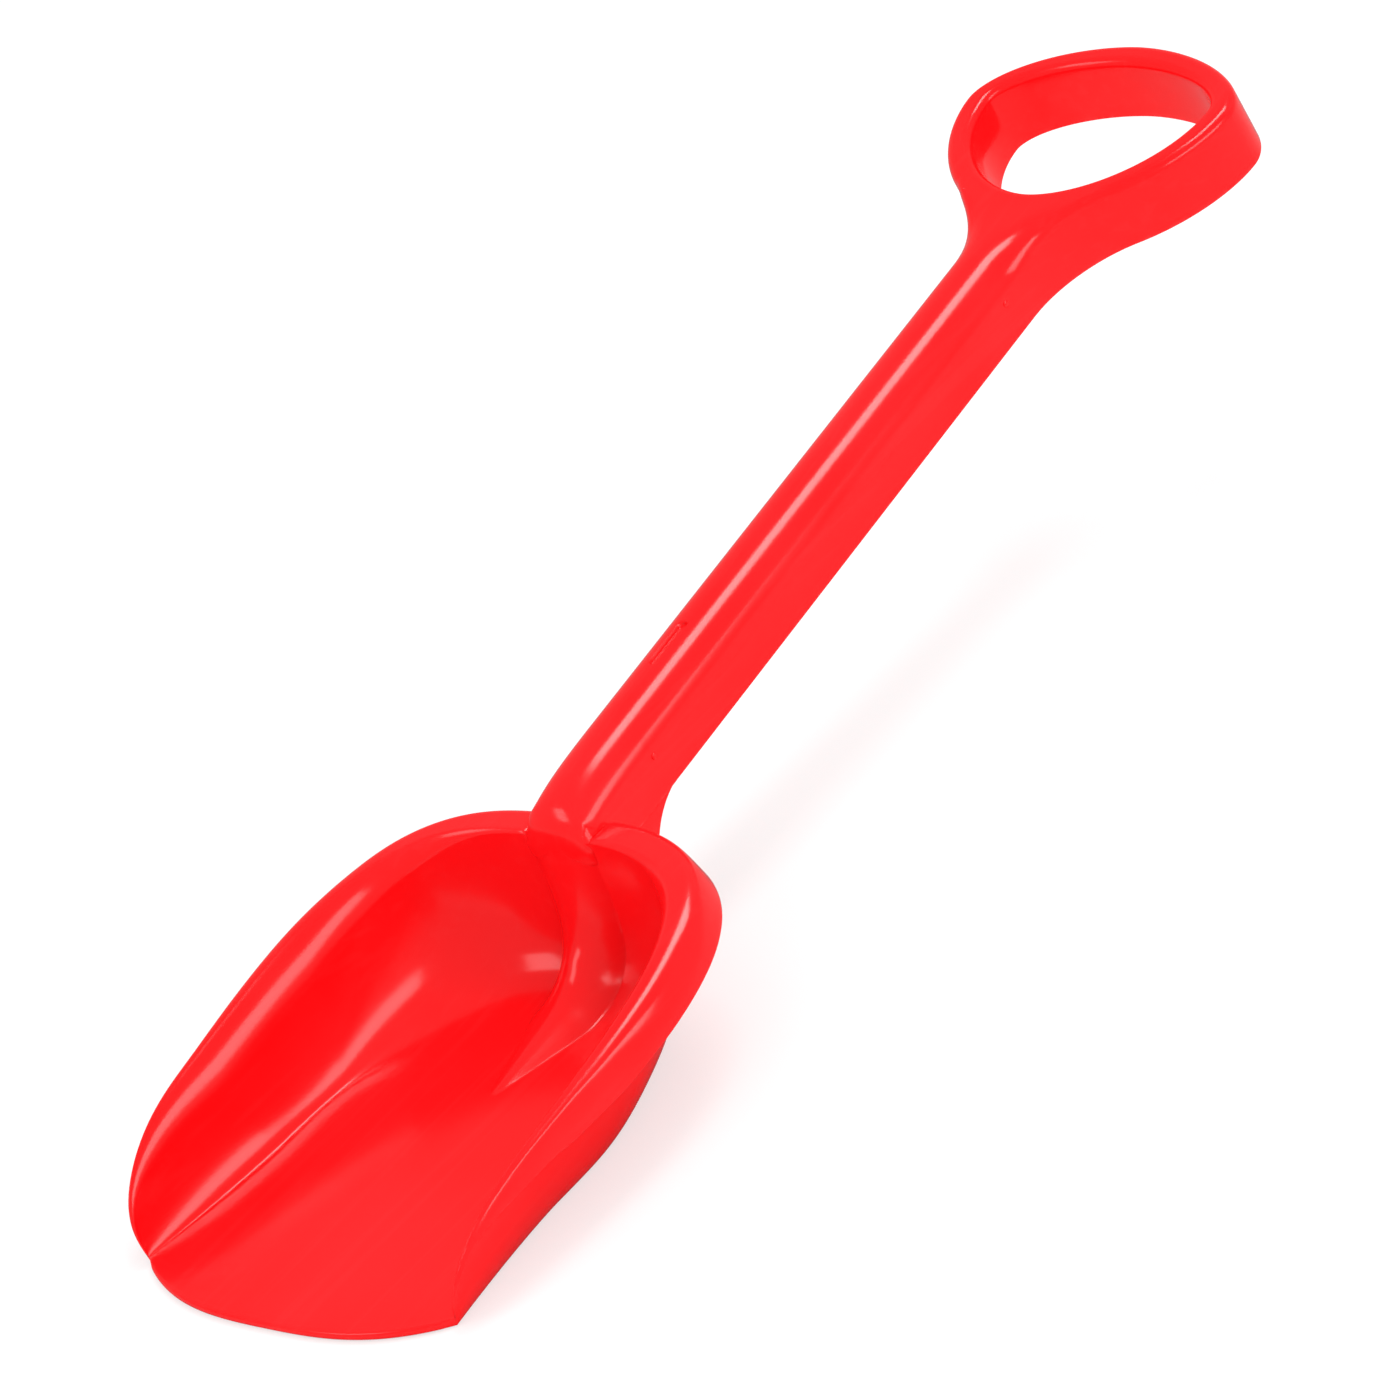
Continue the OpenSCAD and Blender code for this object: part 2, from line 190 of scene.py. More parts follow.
def cubic(a: np.ndarray, c0: np.ndarray, c1: np.ndarray, b: np.ndarray, count: int) -> np.ndarray:
    """Cuts a curve with two control points into points, without its start."""
    t = np.linspace(0.0, 1.0, count + 1)[1:, None]
    return a * (1 - t) ** 3 + 3 * c0 * t * (1 - t) ** 2 + 3 * c1 * t**2 * (1 - t) + b * t**3


def fillet(a: np.ndarray, corner: np.ndarray, b: np.ndarray, radius: float, count: int) -> Rows:
    """Rounds a corner between two lines in a plane.

    Args:
        a: A point before the corner.
        corner: The corner.
        b: A point after the corner.
        radius: Radius of the rounding; shortened where the lines are too short for it.
        count: Number of steps round the corner.

    Returns:
        The points from the first touching point to the last.
    """
    u, v = a - corner, b - corner
    caps = [cap * float(np.linalg.norm(line)) for cap, line in zip(FILLET_CAPS, (u, v))]
    u, v = unit(u), unit(v)
    half = math.acos(float(clamp(u @ v, -1.0, 1.0))) / 2.0
    reach = min(radius / math.tan(half), *caps)
    start, end = corner + u * reach, corner + v * reach
    turn = math.pi - 2.0 * half
    if turn < STRAIGHT:
        return [start, *segment(start, end, count)]
    middle = corner + unit(u + v) * reach / math.cos(half)
    e0, e1 = start - middle, end - middle
    shares = [i / count for i in range(count + 1)]
    arc = [e0 * math.sin((1 - t) * turn) + e1 * math.sin(t * turn) for t in shares]
    return [middle + p / math.sin(turn) for p in arc]


class Skin:
    """Grids of points gathered into one closed mesh."""

    def __init__(self) -> None:
        """Starts with no points."""
        self.points: Rows = []
        self.faces: list[tuple[int, ...]] = []
        self.count = 0

    def grid(self, points: np.ndarray) -> None:
        """Adds a grid of points and the quads between them.

        Args:
            points: Array of rows, columns and coordinates.
        """
        rows, columns, _ = points.shape
        base = self.count
        self.points.append(points.reshape(-1, 3))
        self.count += rows * columns
        for i in range(rows - 1):
            for j in range(columns - 1):
                a = base + i * columns + j
                self.faces.append((a, a + columns, a + columns + 1, a + 1))

    def fan(self, ring: np.ndarray) -> None:
        """Closes a ring of points with triangles round its middle.

        Args:
            ring: Array of points in order, the first not repeated.
        """
        base = self.count
        self.points.append(np.vstack([ring, ring.mean(axis=0)]))
        self.count += len(ring) + 1
        middle = base + len(ring)
        for i in range(len(ring)):
            self.faces.append((base + i, base + (i + 1) % len(ring), middle))

    def both(self, *parts: np.ndarray) -> None:
        """Adds grids or rings, each with its mirror image across the middle plane.

        Args:
            *parts: Grids of rows, columns and coordinates, or rings of points.
        """
        for points in parts:
            for side in Side:
                add = self.grid if points.ndim == 3 else self.fan
                add(points * np.array([side.value, 1.0, 1.0]))

    def build(self, name: str) -> bpy.types.Object:
        """Makes the object, with joined seams and outward faces.

        Args:
            name: Name of the object.

        Returns:
            The new object, linked to the scene.
        """
        mesh = bpy.data.meshes.new(name)
        mesh.from_pydata((np.vstack(self.points) * MM).tolist(), [], self.faces)
        return finish_mesh(name, mesh, SHARP_SKIN)


def link(name: str, data: bpy.types.ID) -> bpy.types.Object:
    """Puts a new object in the scene.

    Args:
        name: Name of the object.
        data: Its mesh, light or camera.

    Returns:
        The object.
    """
    obj = bpy.data.objects.new(name, data)
    bpy.context.scene.collection.objects.link(obj)
    return obj


def finish_mesh(name: str, mesh: bpy.types.Mesh, sharp: float) -> bpy.types.Object:
    """Joins a mesh's seams, turns its faces outward, shades it smooth and links it.

    Args:
        name: Name of the object.
        mesh: The raw mesh.
        sharp: Angle in degrees above which an edge stays crisp.

    Returns:
        The linked object.
    """
    work = bmesh.new()
    work.from_mesh(mesh)
    bmesh.ops.remove_doubles(work, verts=work.verts, dist=MERGE)
    bmesh.ops.dissolve_degenerate(work, edges=work.edges, dist=MERGE)
    bmesh.ops.recalc_face_normals(work, faces=work.faces)
    open_edges = sum(1 for e in work.edges if not e.is_manifold)
    for face in work.faces:
        face.smooth = True
    for edge in work.edges:
        edge.smooth = edge.calc_face_angle(0.0) < math.radians(sharp)
    work.to_mesh(mesh)
    work.free()
    mesh.validate()
    obj = link(name, mesh)
    LOG.info("%s: %d faces, %d open edges", obj.name, len(mesh.polygons), open_edges)
    return obj


def add_plate(work: bmesh.types.BMesh, ring: Sequence[Sequence[float]], way: Sequence[float]) -> None:
    """Adds a flat plate to a mesh in work.

    Args:
        work: Mesh that takes the plate.
        ring: Outline of the plate's first face.
        way: Way from the first face to the last.
    """
    face = work.faces.new([work.verts.new(tuple(np.array(p) * MM)) for p in ring])
    moved = bmesh.ops.extrude_face_region(work, geom=[face])
    verts = [v for v in moved["geom"] if isinstance(v, bmesh.types.BMVert)]
    bmesh.ops.translate(work, verts=verts, vec=tuple(np.array(way) * MM))


def finish_plates(name: str, work: bmesh.types.BMesh) -> bpy.types.Object:
    """Makes an object of the plates in a mesh in work.

    Args:
        name: Name of the object.
        work: The plates; freed here.

    Returns:
        The linked object.
    """
    mesh = bpy.data.meshes.new(name)
    work.to_mesh(mesh)
    work.free()
    return finish_mesh(name, mesh, SHARP_PLATE)


class Socket:
    """One output of a node, with arithmetic that adds nodes to its tree."""

    def __init__(self, graph: "Graph", output: bpy.types.NodeSocket) -> None:
        """Keeps the graph and the output."""
        self.graph = graph
        self.output = output

    def math(self, operation: str, *others: Any) -> "Socket":
        """Adds a Math node fed by this socket and up to two more values."""
        return self.graph.add("ShaderNodeMath", {"operation": operation}, dict(enumerate((self, *others))))

    def __add__(self, other: Any) -> "Socket":
        """Returns the sum."""
        return self.math("ADD", other)

    def __sub__(self, other: Any) -> "Socket":
        """Returns the difference."""
        return self.math("SUBTRACT", other)

    def __rsub__(self, other: Any) -> "Socket":
        """Returns the difference, this socket last."""
        return self.graph.add("ShaderNodeMath", {"operation": "SUBTRACT"}, {0: other, 1: self})

    def __mul__(self, other: Any) -> "Socket":
        """Returns the product."""
        return self.math("MULTIPLY", other)

    __radd__ = __add__
    __rmul__ = __mul__

    def between(self, limits: Pair) -> "Socket":
        """Turns the value into a share that rises softly.

        Args:
            limits: Values at which the share is 0 and 1.

        Returns:
            The share.
        """
        settings = {"interpolation_type": "SMOOTHSTEP", "clamp": True}
        values = {"Value": self, "From Min": limits[0], "From Max": limits[1]}
        return self.graph.add("ShaderNodeMapRange", settings, values)


class Graph:
    """A node tree under construction."""

    def __init__(self, tree: bpy.types.NodeTree) -> None:
        """Empties the tree."""
        self.tree = tree
        tree.nodes.clear()

    def node(self, kind: str, settings: dict[str, Any], values: dict[Any, Any]) -> bpy.types.Node:
        """Adds a node of any kind.

        Args:
            kind: The node's type name.
            settings: Properties, set before any socket is touched.
            values: Constants or sockets by input name or number.

        Returns:
            The new node.
        """
        node = self.tree.nodes.new(kind)
        for key, value in settings.items():
            setattr(node, key, value)
        for key, value in values.items():
            if isinstance(value, Socket):
                self.tree.links.new(value.output, node.inputs[key])
            else:
                node.inputs[key].default_value = value
        return node

    def add(self, kind: str, settings: dict[str, Any], values: dict[Any, Any], output: Any = 0) -> Socket:
        """Adds a node of any kind and gives back one of its outputs."""
        return Socket(self, self.node(kind, settings, values).outputs[output])

    def rays(self) -> tuple[Socket, ...]:
        """Returns the tests for each kind of ray, in the order of Ray."""
        path = self.node("ShaderNodeLightPath", {}, {})
        return tuple(Socket(self, path.outputs[ray.value]) for ray in Ray)

    def blend(self, share: Any, a: Any, b: Any) -> Socket:
        """Mixes two colours by a share, with a Mix node."""
        settings = {"data_type": "RGBA", "clamp_factor": True}
        return self.add("ShaderNodeMix", settings, {0: share, 6: a, 7: b}, 2)

    def stretch(self, vector: Socket, scale: Triple) -> Socket:
        """Multiplies a vector by a scale, with a Vector Math node."""
        return self.add("ShaderNodeVectorMath", {"operation": "MULTIPLY"}, {0: vector, 1: scale})

    def noise(self, vector: Socket, scale: float, detail: float, distortion: float = 0.0) -> Socket:
        """Adds a noise texture read at a vector."""
        values = {"Vector": vector, "Scale": scale, "Detail": detail, "Distortion": distortion}
        return self.add("ShaderNodeTexNoise", {}, values)


def start_material(name: str) -> tuple[bpy.types.Material, Graph]:
    """Makes an empty node material.

    Args:
        name: Name of the material.

    Returns:
        The material and its graph.
    """
    material = bpy.data.materials.new(name)
    material.use_nodes = True
    return material, Graph(material.node_tree)


@dataclass(frozen=True)
class GlossPlastic:
    """Finish of glossy moulded plastic with faint flow lines, orange peel and scuffs."""

    name: str = SLOT
    colour: Colour = (0.93, 0.006, 0.009, 1.0)
    deep_colour: Colour = (0.9, 0.003, 0.005, 1.0)
    worn_colour: Colour = (0.95, 0.03, 0.034, 1.0)
    roughness: float = 0.16
    ior: float = 1.49
    broad_noise: Pair = (14.0, 3.0)
    grain_noise: Pair = (900.0, 2.0)
    speck_noise: Pair = (210.0, 4.0)
    flow_noise: Triple = (1.0, 3.0, 0.6)
    flow_stretch: Triple = (260.0, 9.0, 260.0)
    scratch_noise: Triple = (1.0, 1.0, 1.4)
    scratch_stretch: Triple = (60.0, 900.0, 300.0)
    edge_range: Pair = (0.53, 0.6)
    wear_range: Pair = (0.42, 0.62)
    scratch_range: Pair = (0.66, 0.78)
    scuff_range: Pair = (0.5, 0.68)
    tint_range: Pair = (0.3, 0.7)
    flow_range: Pair = (0.52, 0.7)
    flow_tint: float = 0.1
    wear_tint: float = 0.35
    noise_mean: float = 0.5
    broad_rough: float = 0.06
    speck_rough: float = 0.03
    wear_rough: float = 0.12
    scuff_rough: float = 0.08
    grain_height: float = 0.25
    flow_height: float = 0.5
    speck_height: float = 0.4
    scuff_height: float = 0.3
    bump_strength: float = 0.12
    bump_distance: float = 0.00004

    def make(self) -> bpy.types.Material:
        """Builds the material.

        Returns:
            The material.
        """
        material, g = start_material(self.name)
        place = g.add("ShaderNodeTexCoord", {}, {}, "Object")
        broad = g.noise(place, *self.broad_noise)
        flow = g.noise(g.stretch(place, self.flow_stretch), *self.flow_noise)
        grain = g.noise(place, *self.grain_noise)
        speck = g.noise(place, *self.speck_noise)
        scratch = g.noise(g.stretch(place, self.scratch_stretch), *self.scratch_noise)
        edge = g.add("ShaderNodeNewGeometry", {}, {}, "Pointiness").between(self.edge_range)
        wear = edge * speck.between(self.wear_range)
        scuff = scratch.between(self.scratch_range) * broad.between(self.scuff_range)
        tint = g.blend(broad.between(self.tint_range), self.deep_colour, self.colour)
        tint = g.blend(flow.between(self.flow_range) * self.flow_tint, tint, self.worn_colour)
        tint = g.blend(wear * self.wear_tint, tint, self.worn_colour)
        rough = self.roughness + (broad - self.noise_mean) * self.broad_rough
        rough = rough + (speck - self.noise_mean) * self.speck_rough
        rough = rough + wear * self.wear_rough + scuff * self.scuff_rough
        height = grain * self.grain_height + flow * self.flow_height
        height = height + speck * self.speck_height - scuff * self.scuff_height
        relief = {"Strength": self.bump_strength, "Distance": self.bump_distance, "Height": height}
        bump = g.add("ShaderNodeBump", {}, relief)
        values = {"Base Color": tint, "Roughness": rough, "IOR": self.ior, "Normal": bump}
        surface = g.add("ShaderNodeBsdfPrincipled", {}, values)
        g.node("ShaderNodeOutputMaterial", {}, {"Surface": surface})
        return material


@dataclass(frozen=True)
class StudioFloor:
    """Finish of the pale floor that stays white to the camera and keeps the shadow."""

    name: str = "studio_floor"
    colour: Colour = (0.93, 0.93, 0.93, 1.0)
    white: Colour = (1.0, 1.0, 1.0, 1.0)
    mirrored: Colour = (0.24, 0.24, 0.24, 1.0)
    glow_share: float = 0.62

    def make(self) -> bpy.types.Material:
        """Builds the material.

        Returns:
            The material.
        """
        material, g = start_material(self.name)
        camera, glossy, _ = g.rays()
        card, dim = (
            g.add("ShaderNodeBsdfDiffuse", {}, {"Color": colour, "Roughness": 0.0})
            for colour in (self.colour, self.mirrored)
        )
        glow = g.add("ShaderNodeEmission", {}, {"Color": self.white, "Strength": 1.0})
        lit = g.add("ShaderNodeMixShader", {}, {0: camera * self.glow_share, 1: card, 2: glow})
        surface = g.add("ShaderNodeMixShader", {}, {0: glossy, 1: lit, 2: dim})
        g.node("ShaderNodeOutputMaterial", {}, {"Surface": surface})
        return material


def spread(
    obj: bpy.types.Object, count: int, start: np.ndarray, step: np.ndarray, material: bpy.types.Material
) -> None:
    """Repeats an object's mesh along a straight line with a node tree and keeps the plain result.

    Args:
        obj: Object whose mesh, made at the origin, is repeated.
        count: Number of copies.
        start: Place of the first copy.
        step: Way from one copy to the next.
        material: Finish of the copies.
    """
    tree = bpy.data.node_groups.new(obj.name + "_row", "GeometryNodeTree")
    face = tree.interface
    face.new_socket("Geometry", in_out="INPUT", socket_type="NodeSocketGeometry")
    kinds = {"Count": "Int", "Start": "Vector", "Step": "Vector", "Finish": "Material"}
    sockets = {
        name: face.new_socket(name, in_out="INPUT", socket_type="NodeSocket" + kind)
        for name, kind in kinds.items()
    }
    face.new_socket("Geometry", in_out="OUTPUT", socket_type="NodeSocketGeometry")
    g = Graph(tree)
    given = g.node("NodeGroupInput", {}, {})
    pick = {name: Socket(g, given.outputs[name]) for name in ("Geometry", *sockets)}
    values = {"Count": pick["Count"], "Start Location": pick["Start"], "Offset": pick["Step"]}
    line = g.add("GeometryNodeMeshLine", {"mode": "OFFSET"}, values)
    copies = g.add("GeometryNodeInstanceOnPoints", {}, {"Points": line, "Instance": pick["Geometry"]})
    plain = g.add("GeometryNodeRealizeInstances", {}, {"Geometry": copies})
    dressed = g.add("GeometryNodeSetMaterial", {}, {"Geometry": plain, "Material": pick["Finish"]})
    g.node("NodeGroupOutput", {}, {"Geometry": dressed})
    modifier = obj.modifiers.new("row", "NODES")
    modifier.node_group = tree
    chosen = {"Count": count, "Start": tuple(start * MM), "Step": tuple(step * MM), "Finish": material}
    for name, value in chosen.items():
        modifier[sockets[name].identifier] = value
    obj.update_tag()
    seen = obj.evaluated_get(bpy.context.evaluated_depsgraph_get())
    mesh = bpy.data.meshes.new_from_object(seen)
    obj.modifiers.clear()
    obj.data = mesh


class Piece:
    """A piece of the shovel that stands for nodes of the solid model."""

    nodes: tuple[str, ...] = ()

    def build(self) -> bpy.types.Object:
        """Builds the piece; each kind has its own way."""
        raise NotImplementedError

    def dress(self, obj: bpy.types.Object, material: bpy.types.Material) -> None:
        """Gives the built piece its material and its body, and hides the nodes of the solid model that it
        stands for.

        Args:
            obj: The built piece.
            material: Its finish.
        """
        obj.data.materials.clear()
        obj.data.materials.append(material)
        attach(obj, BODY)
        if self.nodes:
            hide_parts(*self.nodes)


class RowPiece(Piece):
    """A piece made of one form repeated along a straight line."""

    def row(self) -> tuple[int, np.ndarray, np.ndarray]:
        """Returns the number of copies, the first one's place and the way to the next."""
        raise NotImplementedError

    def dress(self, obj: bpy.types.Object, material: bpy.types.Material) -> None:
        """Repeats the built form along its line, then dresses the row."""
        spread(obj, *self.row(), material)
        super().dress(obj, material)


@dataclass(frozen=True)
class ShaftFrame:
    """Where the shaft starts, how it leans and its section."""

    neck_y: float = 111.0
    neck_z: float = 43.0
    pitch: float = math.radians(8.3)
    half: float = 15.0
    height: float = 22.5
    crown_r: float = 12.8
    crown_taper: float = 0.6

    def point(self, x: Number, s: Number, w: Number) -> np.ndarray:
        """Places points in the shovel's frame.

        Args:
            x: Distances across.
            s: Distances along the shaft.
            w: Heights above the shaft's lower edge.

        Returns:
            The points.
        """
        c, n = math.cos(self.pitch), math.sin(self.pitch)
        x, s, w = np.broadcast_arrays(np.asarray(x, float), np.asarray(s, float), np.asarray(w, float))
        return np.stack([x, self.neck_y + s * c - w * n, self.neck_z + s * n + w * c], axis=-1)

    def above(self, y: Number, z: Number) -> Number:
        """Returns the height over the plane of the shaft's lower edges."""
        return (z - self.neck_z) * math.cos(self.pitch) - (y - self.neck_y) * math.sin(self.pitch)

    def side(self, y: Number, z: Number) -> Number:
        """Returns the half width of the drafted shaft at a point."""
        return mix(self.half, self.crown_r, clamp(self.above(y, z) / (self.height - self.crown_r)))

    def crown_at(self, half: float) -> float:
        """Returns the radius of the crown where the shaft has a half width."""
        return self.crown_r - (self.half - half) * self.crown_taper


@dataclass
class Scoop(Piece):
    """The blade: floor, flared walls, folded rim and the ridge up its back.

    A column is a number from -1 at the front corner over 0 at the widest station to 1 at the ridge.
    """

    shaft: ShaftFrame
    half_w: float = 71.0
    back_len: float = 96.0
    side_len: float = 53.0
    nose_len: float = 16.5
    nose_half: float = 4.0
    half_floor: float = 56.0
    half_front: float = 63.0
    floor_back_len: float = 48.0
    back_h: float = 52.0
    side_h: float = 36.0
    corner_len: float = 45.0
    corner_start: float = 0.04
    corner_angle: float = 50.0
    wall_t: float = 2.4
    front_t: float = 1.6
    front_run: float = 25.0
    rim_share: float = 0.9
    rim_widths: Table = (
        (-53.0, 0.5), (-51.0, 1.2), (-48.0, 1.7), (-42.0, 2.1), (-25.0, 4.2),
        (0.0, 6.5), (20.0, 8.9), (45.0, 11.2), (70.0, 13.1), (96.0, 15.0),
    )
    rim_drops: Table = (
        (-53.0, 0.5), (-51.0, 1.2), (-48.0, 1.6), (-42.0, 1.9), (-25.0, 5.4),
        (0.0, 9.8), (25.0, 12.0), (60.0, 12.4), (96.0, 13.0),
    )
    flares: Table = ((-53.0, 0.2), (-30.0, 2.2), (0.0, 4.4), (45.0, 5.0), (70.0, 3.4), (96.0, 1.0))
    folds: Table = ((-53.0, 0.6), (-30.0, 7.0), (0.0, 12.0), (45.0, 12.5), (70.0, 9.5), (96.0, 4.5))
    fold_ends: Table = ((-53.0, 0.5), (0.0, 1.3), (45.0, 1.6), (96.0, 2.0))
    end_fold: float = 1.2
    fold_share: float = 0.42
    fold_pulls: Triple = (0.36, 0.5, 0.06)
    fold_drop: float = 0.12
    crest_shares: Pair = (0.43, 0.22)
    crest_run: Pair = (60.0, 36.0)
    crest_radii: Pair = (0.8, 9.0)
    crest_radius_run: Pair = (-40.0, 80.0)
    skirt_start: float = 44.0
    skirt_end: float = 74.0
    skirt_margins: Pair = (10.0, 6.0)
    lip_run: float = 1.5
    inner_steps: Pair = (0.2, 0.6)
    inner_pull: float = 0.9
    neck_start: float = 0.6
    neck_near: float = 0.5
    rim_gap: float = 0.1
    end_run: float = 3.0
    end_drop: float = 1.2
    tip_y: float = 36.0
    tip_half: float = 1.0
    tip_stations: int = 20
    taper_len: float = 34.0
    taper_start: float = 0.72
    ridge_h: float = 10.0
    ridge_hollow: float = 0.8125
    ridge_profile: float = 1.15
    rise: Table = (
        (0.0, 0.0), (0.08, 0.1), (0.19, 0.3), (0.31, 0.5), (0.42, 0.68),
        (0.54, 1.0), (0.66, 0.78), (0.79, 0.48), (0.92, 0.24), (1.0, 0.15),
    )
    rise_blur: float = 0.11
    rise_start: float = 0.05
    rim_power: float = 3.3
    floor_power: float = 4.0
    nose_power: float = 2.9
    splay_power: float = 1.4
    corner_power: float = 2.5
    inner_powers: Triple = (1.4, 1.56, 3.0)
    outer_powers: Triple = (1.25, 1.44, 3.3)
    back_power: float = 4.5
    lip: float = 0.8
    lip_steps: int = 8
    lip_corner: float = 4.0
    columns: tuple[int, int, int, int] = (30, 6, 34, 46)
    column_powers: Pair = (1.15, 1.6)
    ridge_columns: int = 18
    floor_split: float = 0.35
    wall_rows: int = 46
    rim_rows: tuple[int, int, int, int] = (20, 5, 10, 16)
    lower_rows: tuple[int, int, int] = (6, 8, 4)
    nodes: tuple[str, ...] = ("floor", "wall_right", "wall_left", "rim_right", "rim_left", "ridge")
    rim_end: float = field(init=False)
    floor_end: float = field(init=False)

    def __post_init__(self) -> None:
        """Works out where the back columns end beside the ridge."""
        self.rim_end = math.acos((self.shaft.crown_r / self.half_w) ** (self.rim_power / 2))
        foot = float(self.ridge_x(self.floor_back_len))
        self.floor_end = math.acos((foot / self.half_floor) ** (self.floor_power / 2))

    def ridge_x(self, y: Number) -> Number:
        """Returns the ridge's half width at a station along the blade."""
        return mix(self.tip_half, self.shaft.crown_r, clamp((y - self.tip_y) / self.taper_len))

    def rim_line(self, y: Number) -> Number:
        """Returns the height of the rim's inner edge."""
        return mix(self.side_h, self.back_h, y / self.back_len)

    def foot(self, c: float) -> np.ndarray:
        """Finds the floor's edge in plan.

        Args:
            c: Column.

        Returns:
            Place across and along the blade.
        """
        if c < 0:
            splay = (-c) ** self.splay_power
            return np.array([mix(self.half_floor, self.half_front, splay), c * self.side_len])
        return bow(self.floor_end * c, self.floor_power, self.half_floor, self.floor_back_len)

    def corner_rise(self, c: float) -> float:
        """Returns the share of the full rim height that a column reaches at the front corner."""
        back = max(0.0, self.corner_len - self.side_len - c * self.side_len)
        return max(self.corner_start, float(power_arc(back / self.corner_len, self.corner_power)))

    def edge(self, c: float) -> np.ndarray:
        """Finds the rim's inner edge.

        Args:
            c: Column.

        Returns:
            The point.
        """
        if c < 0:
            x, y = self.foot(c)
            f = self.corner_rise(c)
            return np.array([mix(x, self.half_w, f), y, mix(self.wall_t, self.rim_line(y), f)])
        x, y = bow(self.rim_end * c, self.rim_power, self.half_w, self.back_len)
        return np.array([x, y, self.rim_line(y)])

    def out(self, c: float) -> np.ndarray:
        """Finds the rim's outward direction.

        Args:
            c: Column.

        Returns:
            The direction, level and of length 1.
        """
        a, e = self.rim_end * max(0.0, c), 2 - 2 / self.rim_power
        way = np.array([math.cos(a) ** e / self.half_w, math.sin(a) ** e / self.back_len])
        return np.append(unit(way), 0.0)

    def thickness(self, y: float) -> float:
        """Returns the wall's thickness under the rim at a station; it thins toward the front corners."""
        full = mix(self.front_t, self.wall_t, float(ease((y + self.side_len) / self.front_run)))
        return min(full, self.rim_share * read_table(self.rim_widths, y))

    def neck_share(self, c: float) -> float:
        """Returns how far a column has come to the plain edge beside the neck."""
        return float(ease((c - self.neck_start) / (1 - self.neck_start)))

    def wall(self, c: float, top: np.ndarray, base: float, last: float, powers: Triple) -> np.ndarray:
        """Makes one column of the wall.

        Args:
            c: Column.
            top: Top of the column.
            base: Height of its foot.
            last: Height left free below the top for the fold into the rim.
            powers: Power of the curve at the front corner, at the side, and how late it grows to the back's.

        Returns:
            Points from the foot upward.
        """
        front, side, late = powers
        p = mix(side, front, -c) if c < 0 else mix(side, self.back_power, c**late)
        foot = self.foot(c)
        end = math.acos(min(1.0, last / (top[2] - base)) ** (p / 2))
        a = np.linspace(0.0, end, self.wall_rows + 1)
        run, rise = np.sin(a) ** (2 / p), 1 - np.cos(a) ** (2 / p)
        x, y = mix(foot[0], top[0], run), mix(foot[1], top[1], run)
        if c > 0:
            shift = self.ridge_x(y) - mix(self.foot(1.0)[0], self.shaft.crown_r, run)
            taper = ease((c - self.taper_start) / (1 - self.taper_start))
            x = x + taper * (shift - shift[0] * (1 - run))
        return np.stack([x, y, mix(base, top[2], rise)], axis=-1)

    def rim_section(self, y: float, fold: float, corner: np.ndarray) -> np.ndarray:
        """Makes the section of the rim over its width and height, from the fold round to the underside.

        Args:
            y: Station.
            fold: Where the rim becomes flat.
            corner: Where the rim's underside meets the outer wall.

        Returns:
            Distances outward and heights, from the inner edge.
        """
        w, h, t = read_table(self.rim_widths, y), read_table(self.rim_drops, y), self.thickness(y)
        _, band_n, crest_n, skirt_n = self.rim_rows
        lip_n, inner_n, under_n = self.lower_rows
        low, high = self.crest_shares
        at, run = self.crest_run
        crest = np.array([(low + high * float(ease((y - at) / run))) * w, 0.0])
        lean = math.atan2(h, w - crest[0])
        before, after = np.radians(self.skirt_margins)
        a0 = min(math.radians(self.skirt_start), lean - before)
        a1 = max(math.radians(self.skirt_end), lean + after)
        first, down = (np.array([math.cos(a), -math.sin(a)]) for a in (a0, a1))
        share = float(clamp((w - 2 * t) / self.lip_run))
        lip = t / 2 * share
        foot = np.array([w, -h]) - down * lip
        gap = foot - crest
        pull = (gap[0] * down[1] - gap[1] * down[0]) / (first[0] * down[1] - first[1] * down[0])
        control = crest + first * pull
        start = np.array([fold, 0.0])
        at, run = self.crest_radius_run
        rounded = fillet(start, crest, control, mix(*self.crest_radii, float(clamp((y - at) / run))), crest_n)
        points = segment(start, rounded[0], band_n) + rounded[1:]
        points += bezier(rounded[-1], control, foot, skirt_n)
        plain = segment(foot, corner, lip_n + inner_n + under_n)
        inner = foot + np.array([down[1], -down[0]]) * t
        middle = (foot + inner) / 2
        swing = [math.pi * i / lip_n for i in range(1, lip_n + 1)]
        full = [middle + (foot - middle) * math.cos(a) + down * lip * math.sin(a) for a in swing]
        step, back = self.inner_steps
        knee = np.array([max(t + step, crest[0] - back), -t])
        full += bezier(inner, control + (inner - foot) * self.inner_pull, knee, inner_n)
        full += segment(knee, corner, under_n)
        points += [mix(a, b, share) for a, b in zip(plain, full)][:-1]
        return np.array(points)

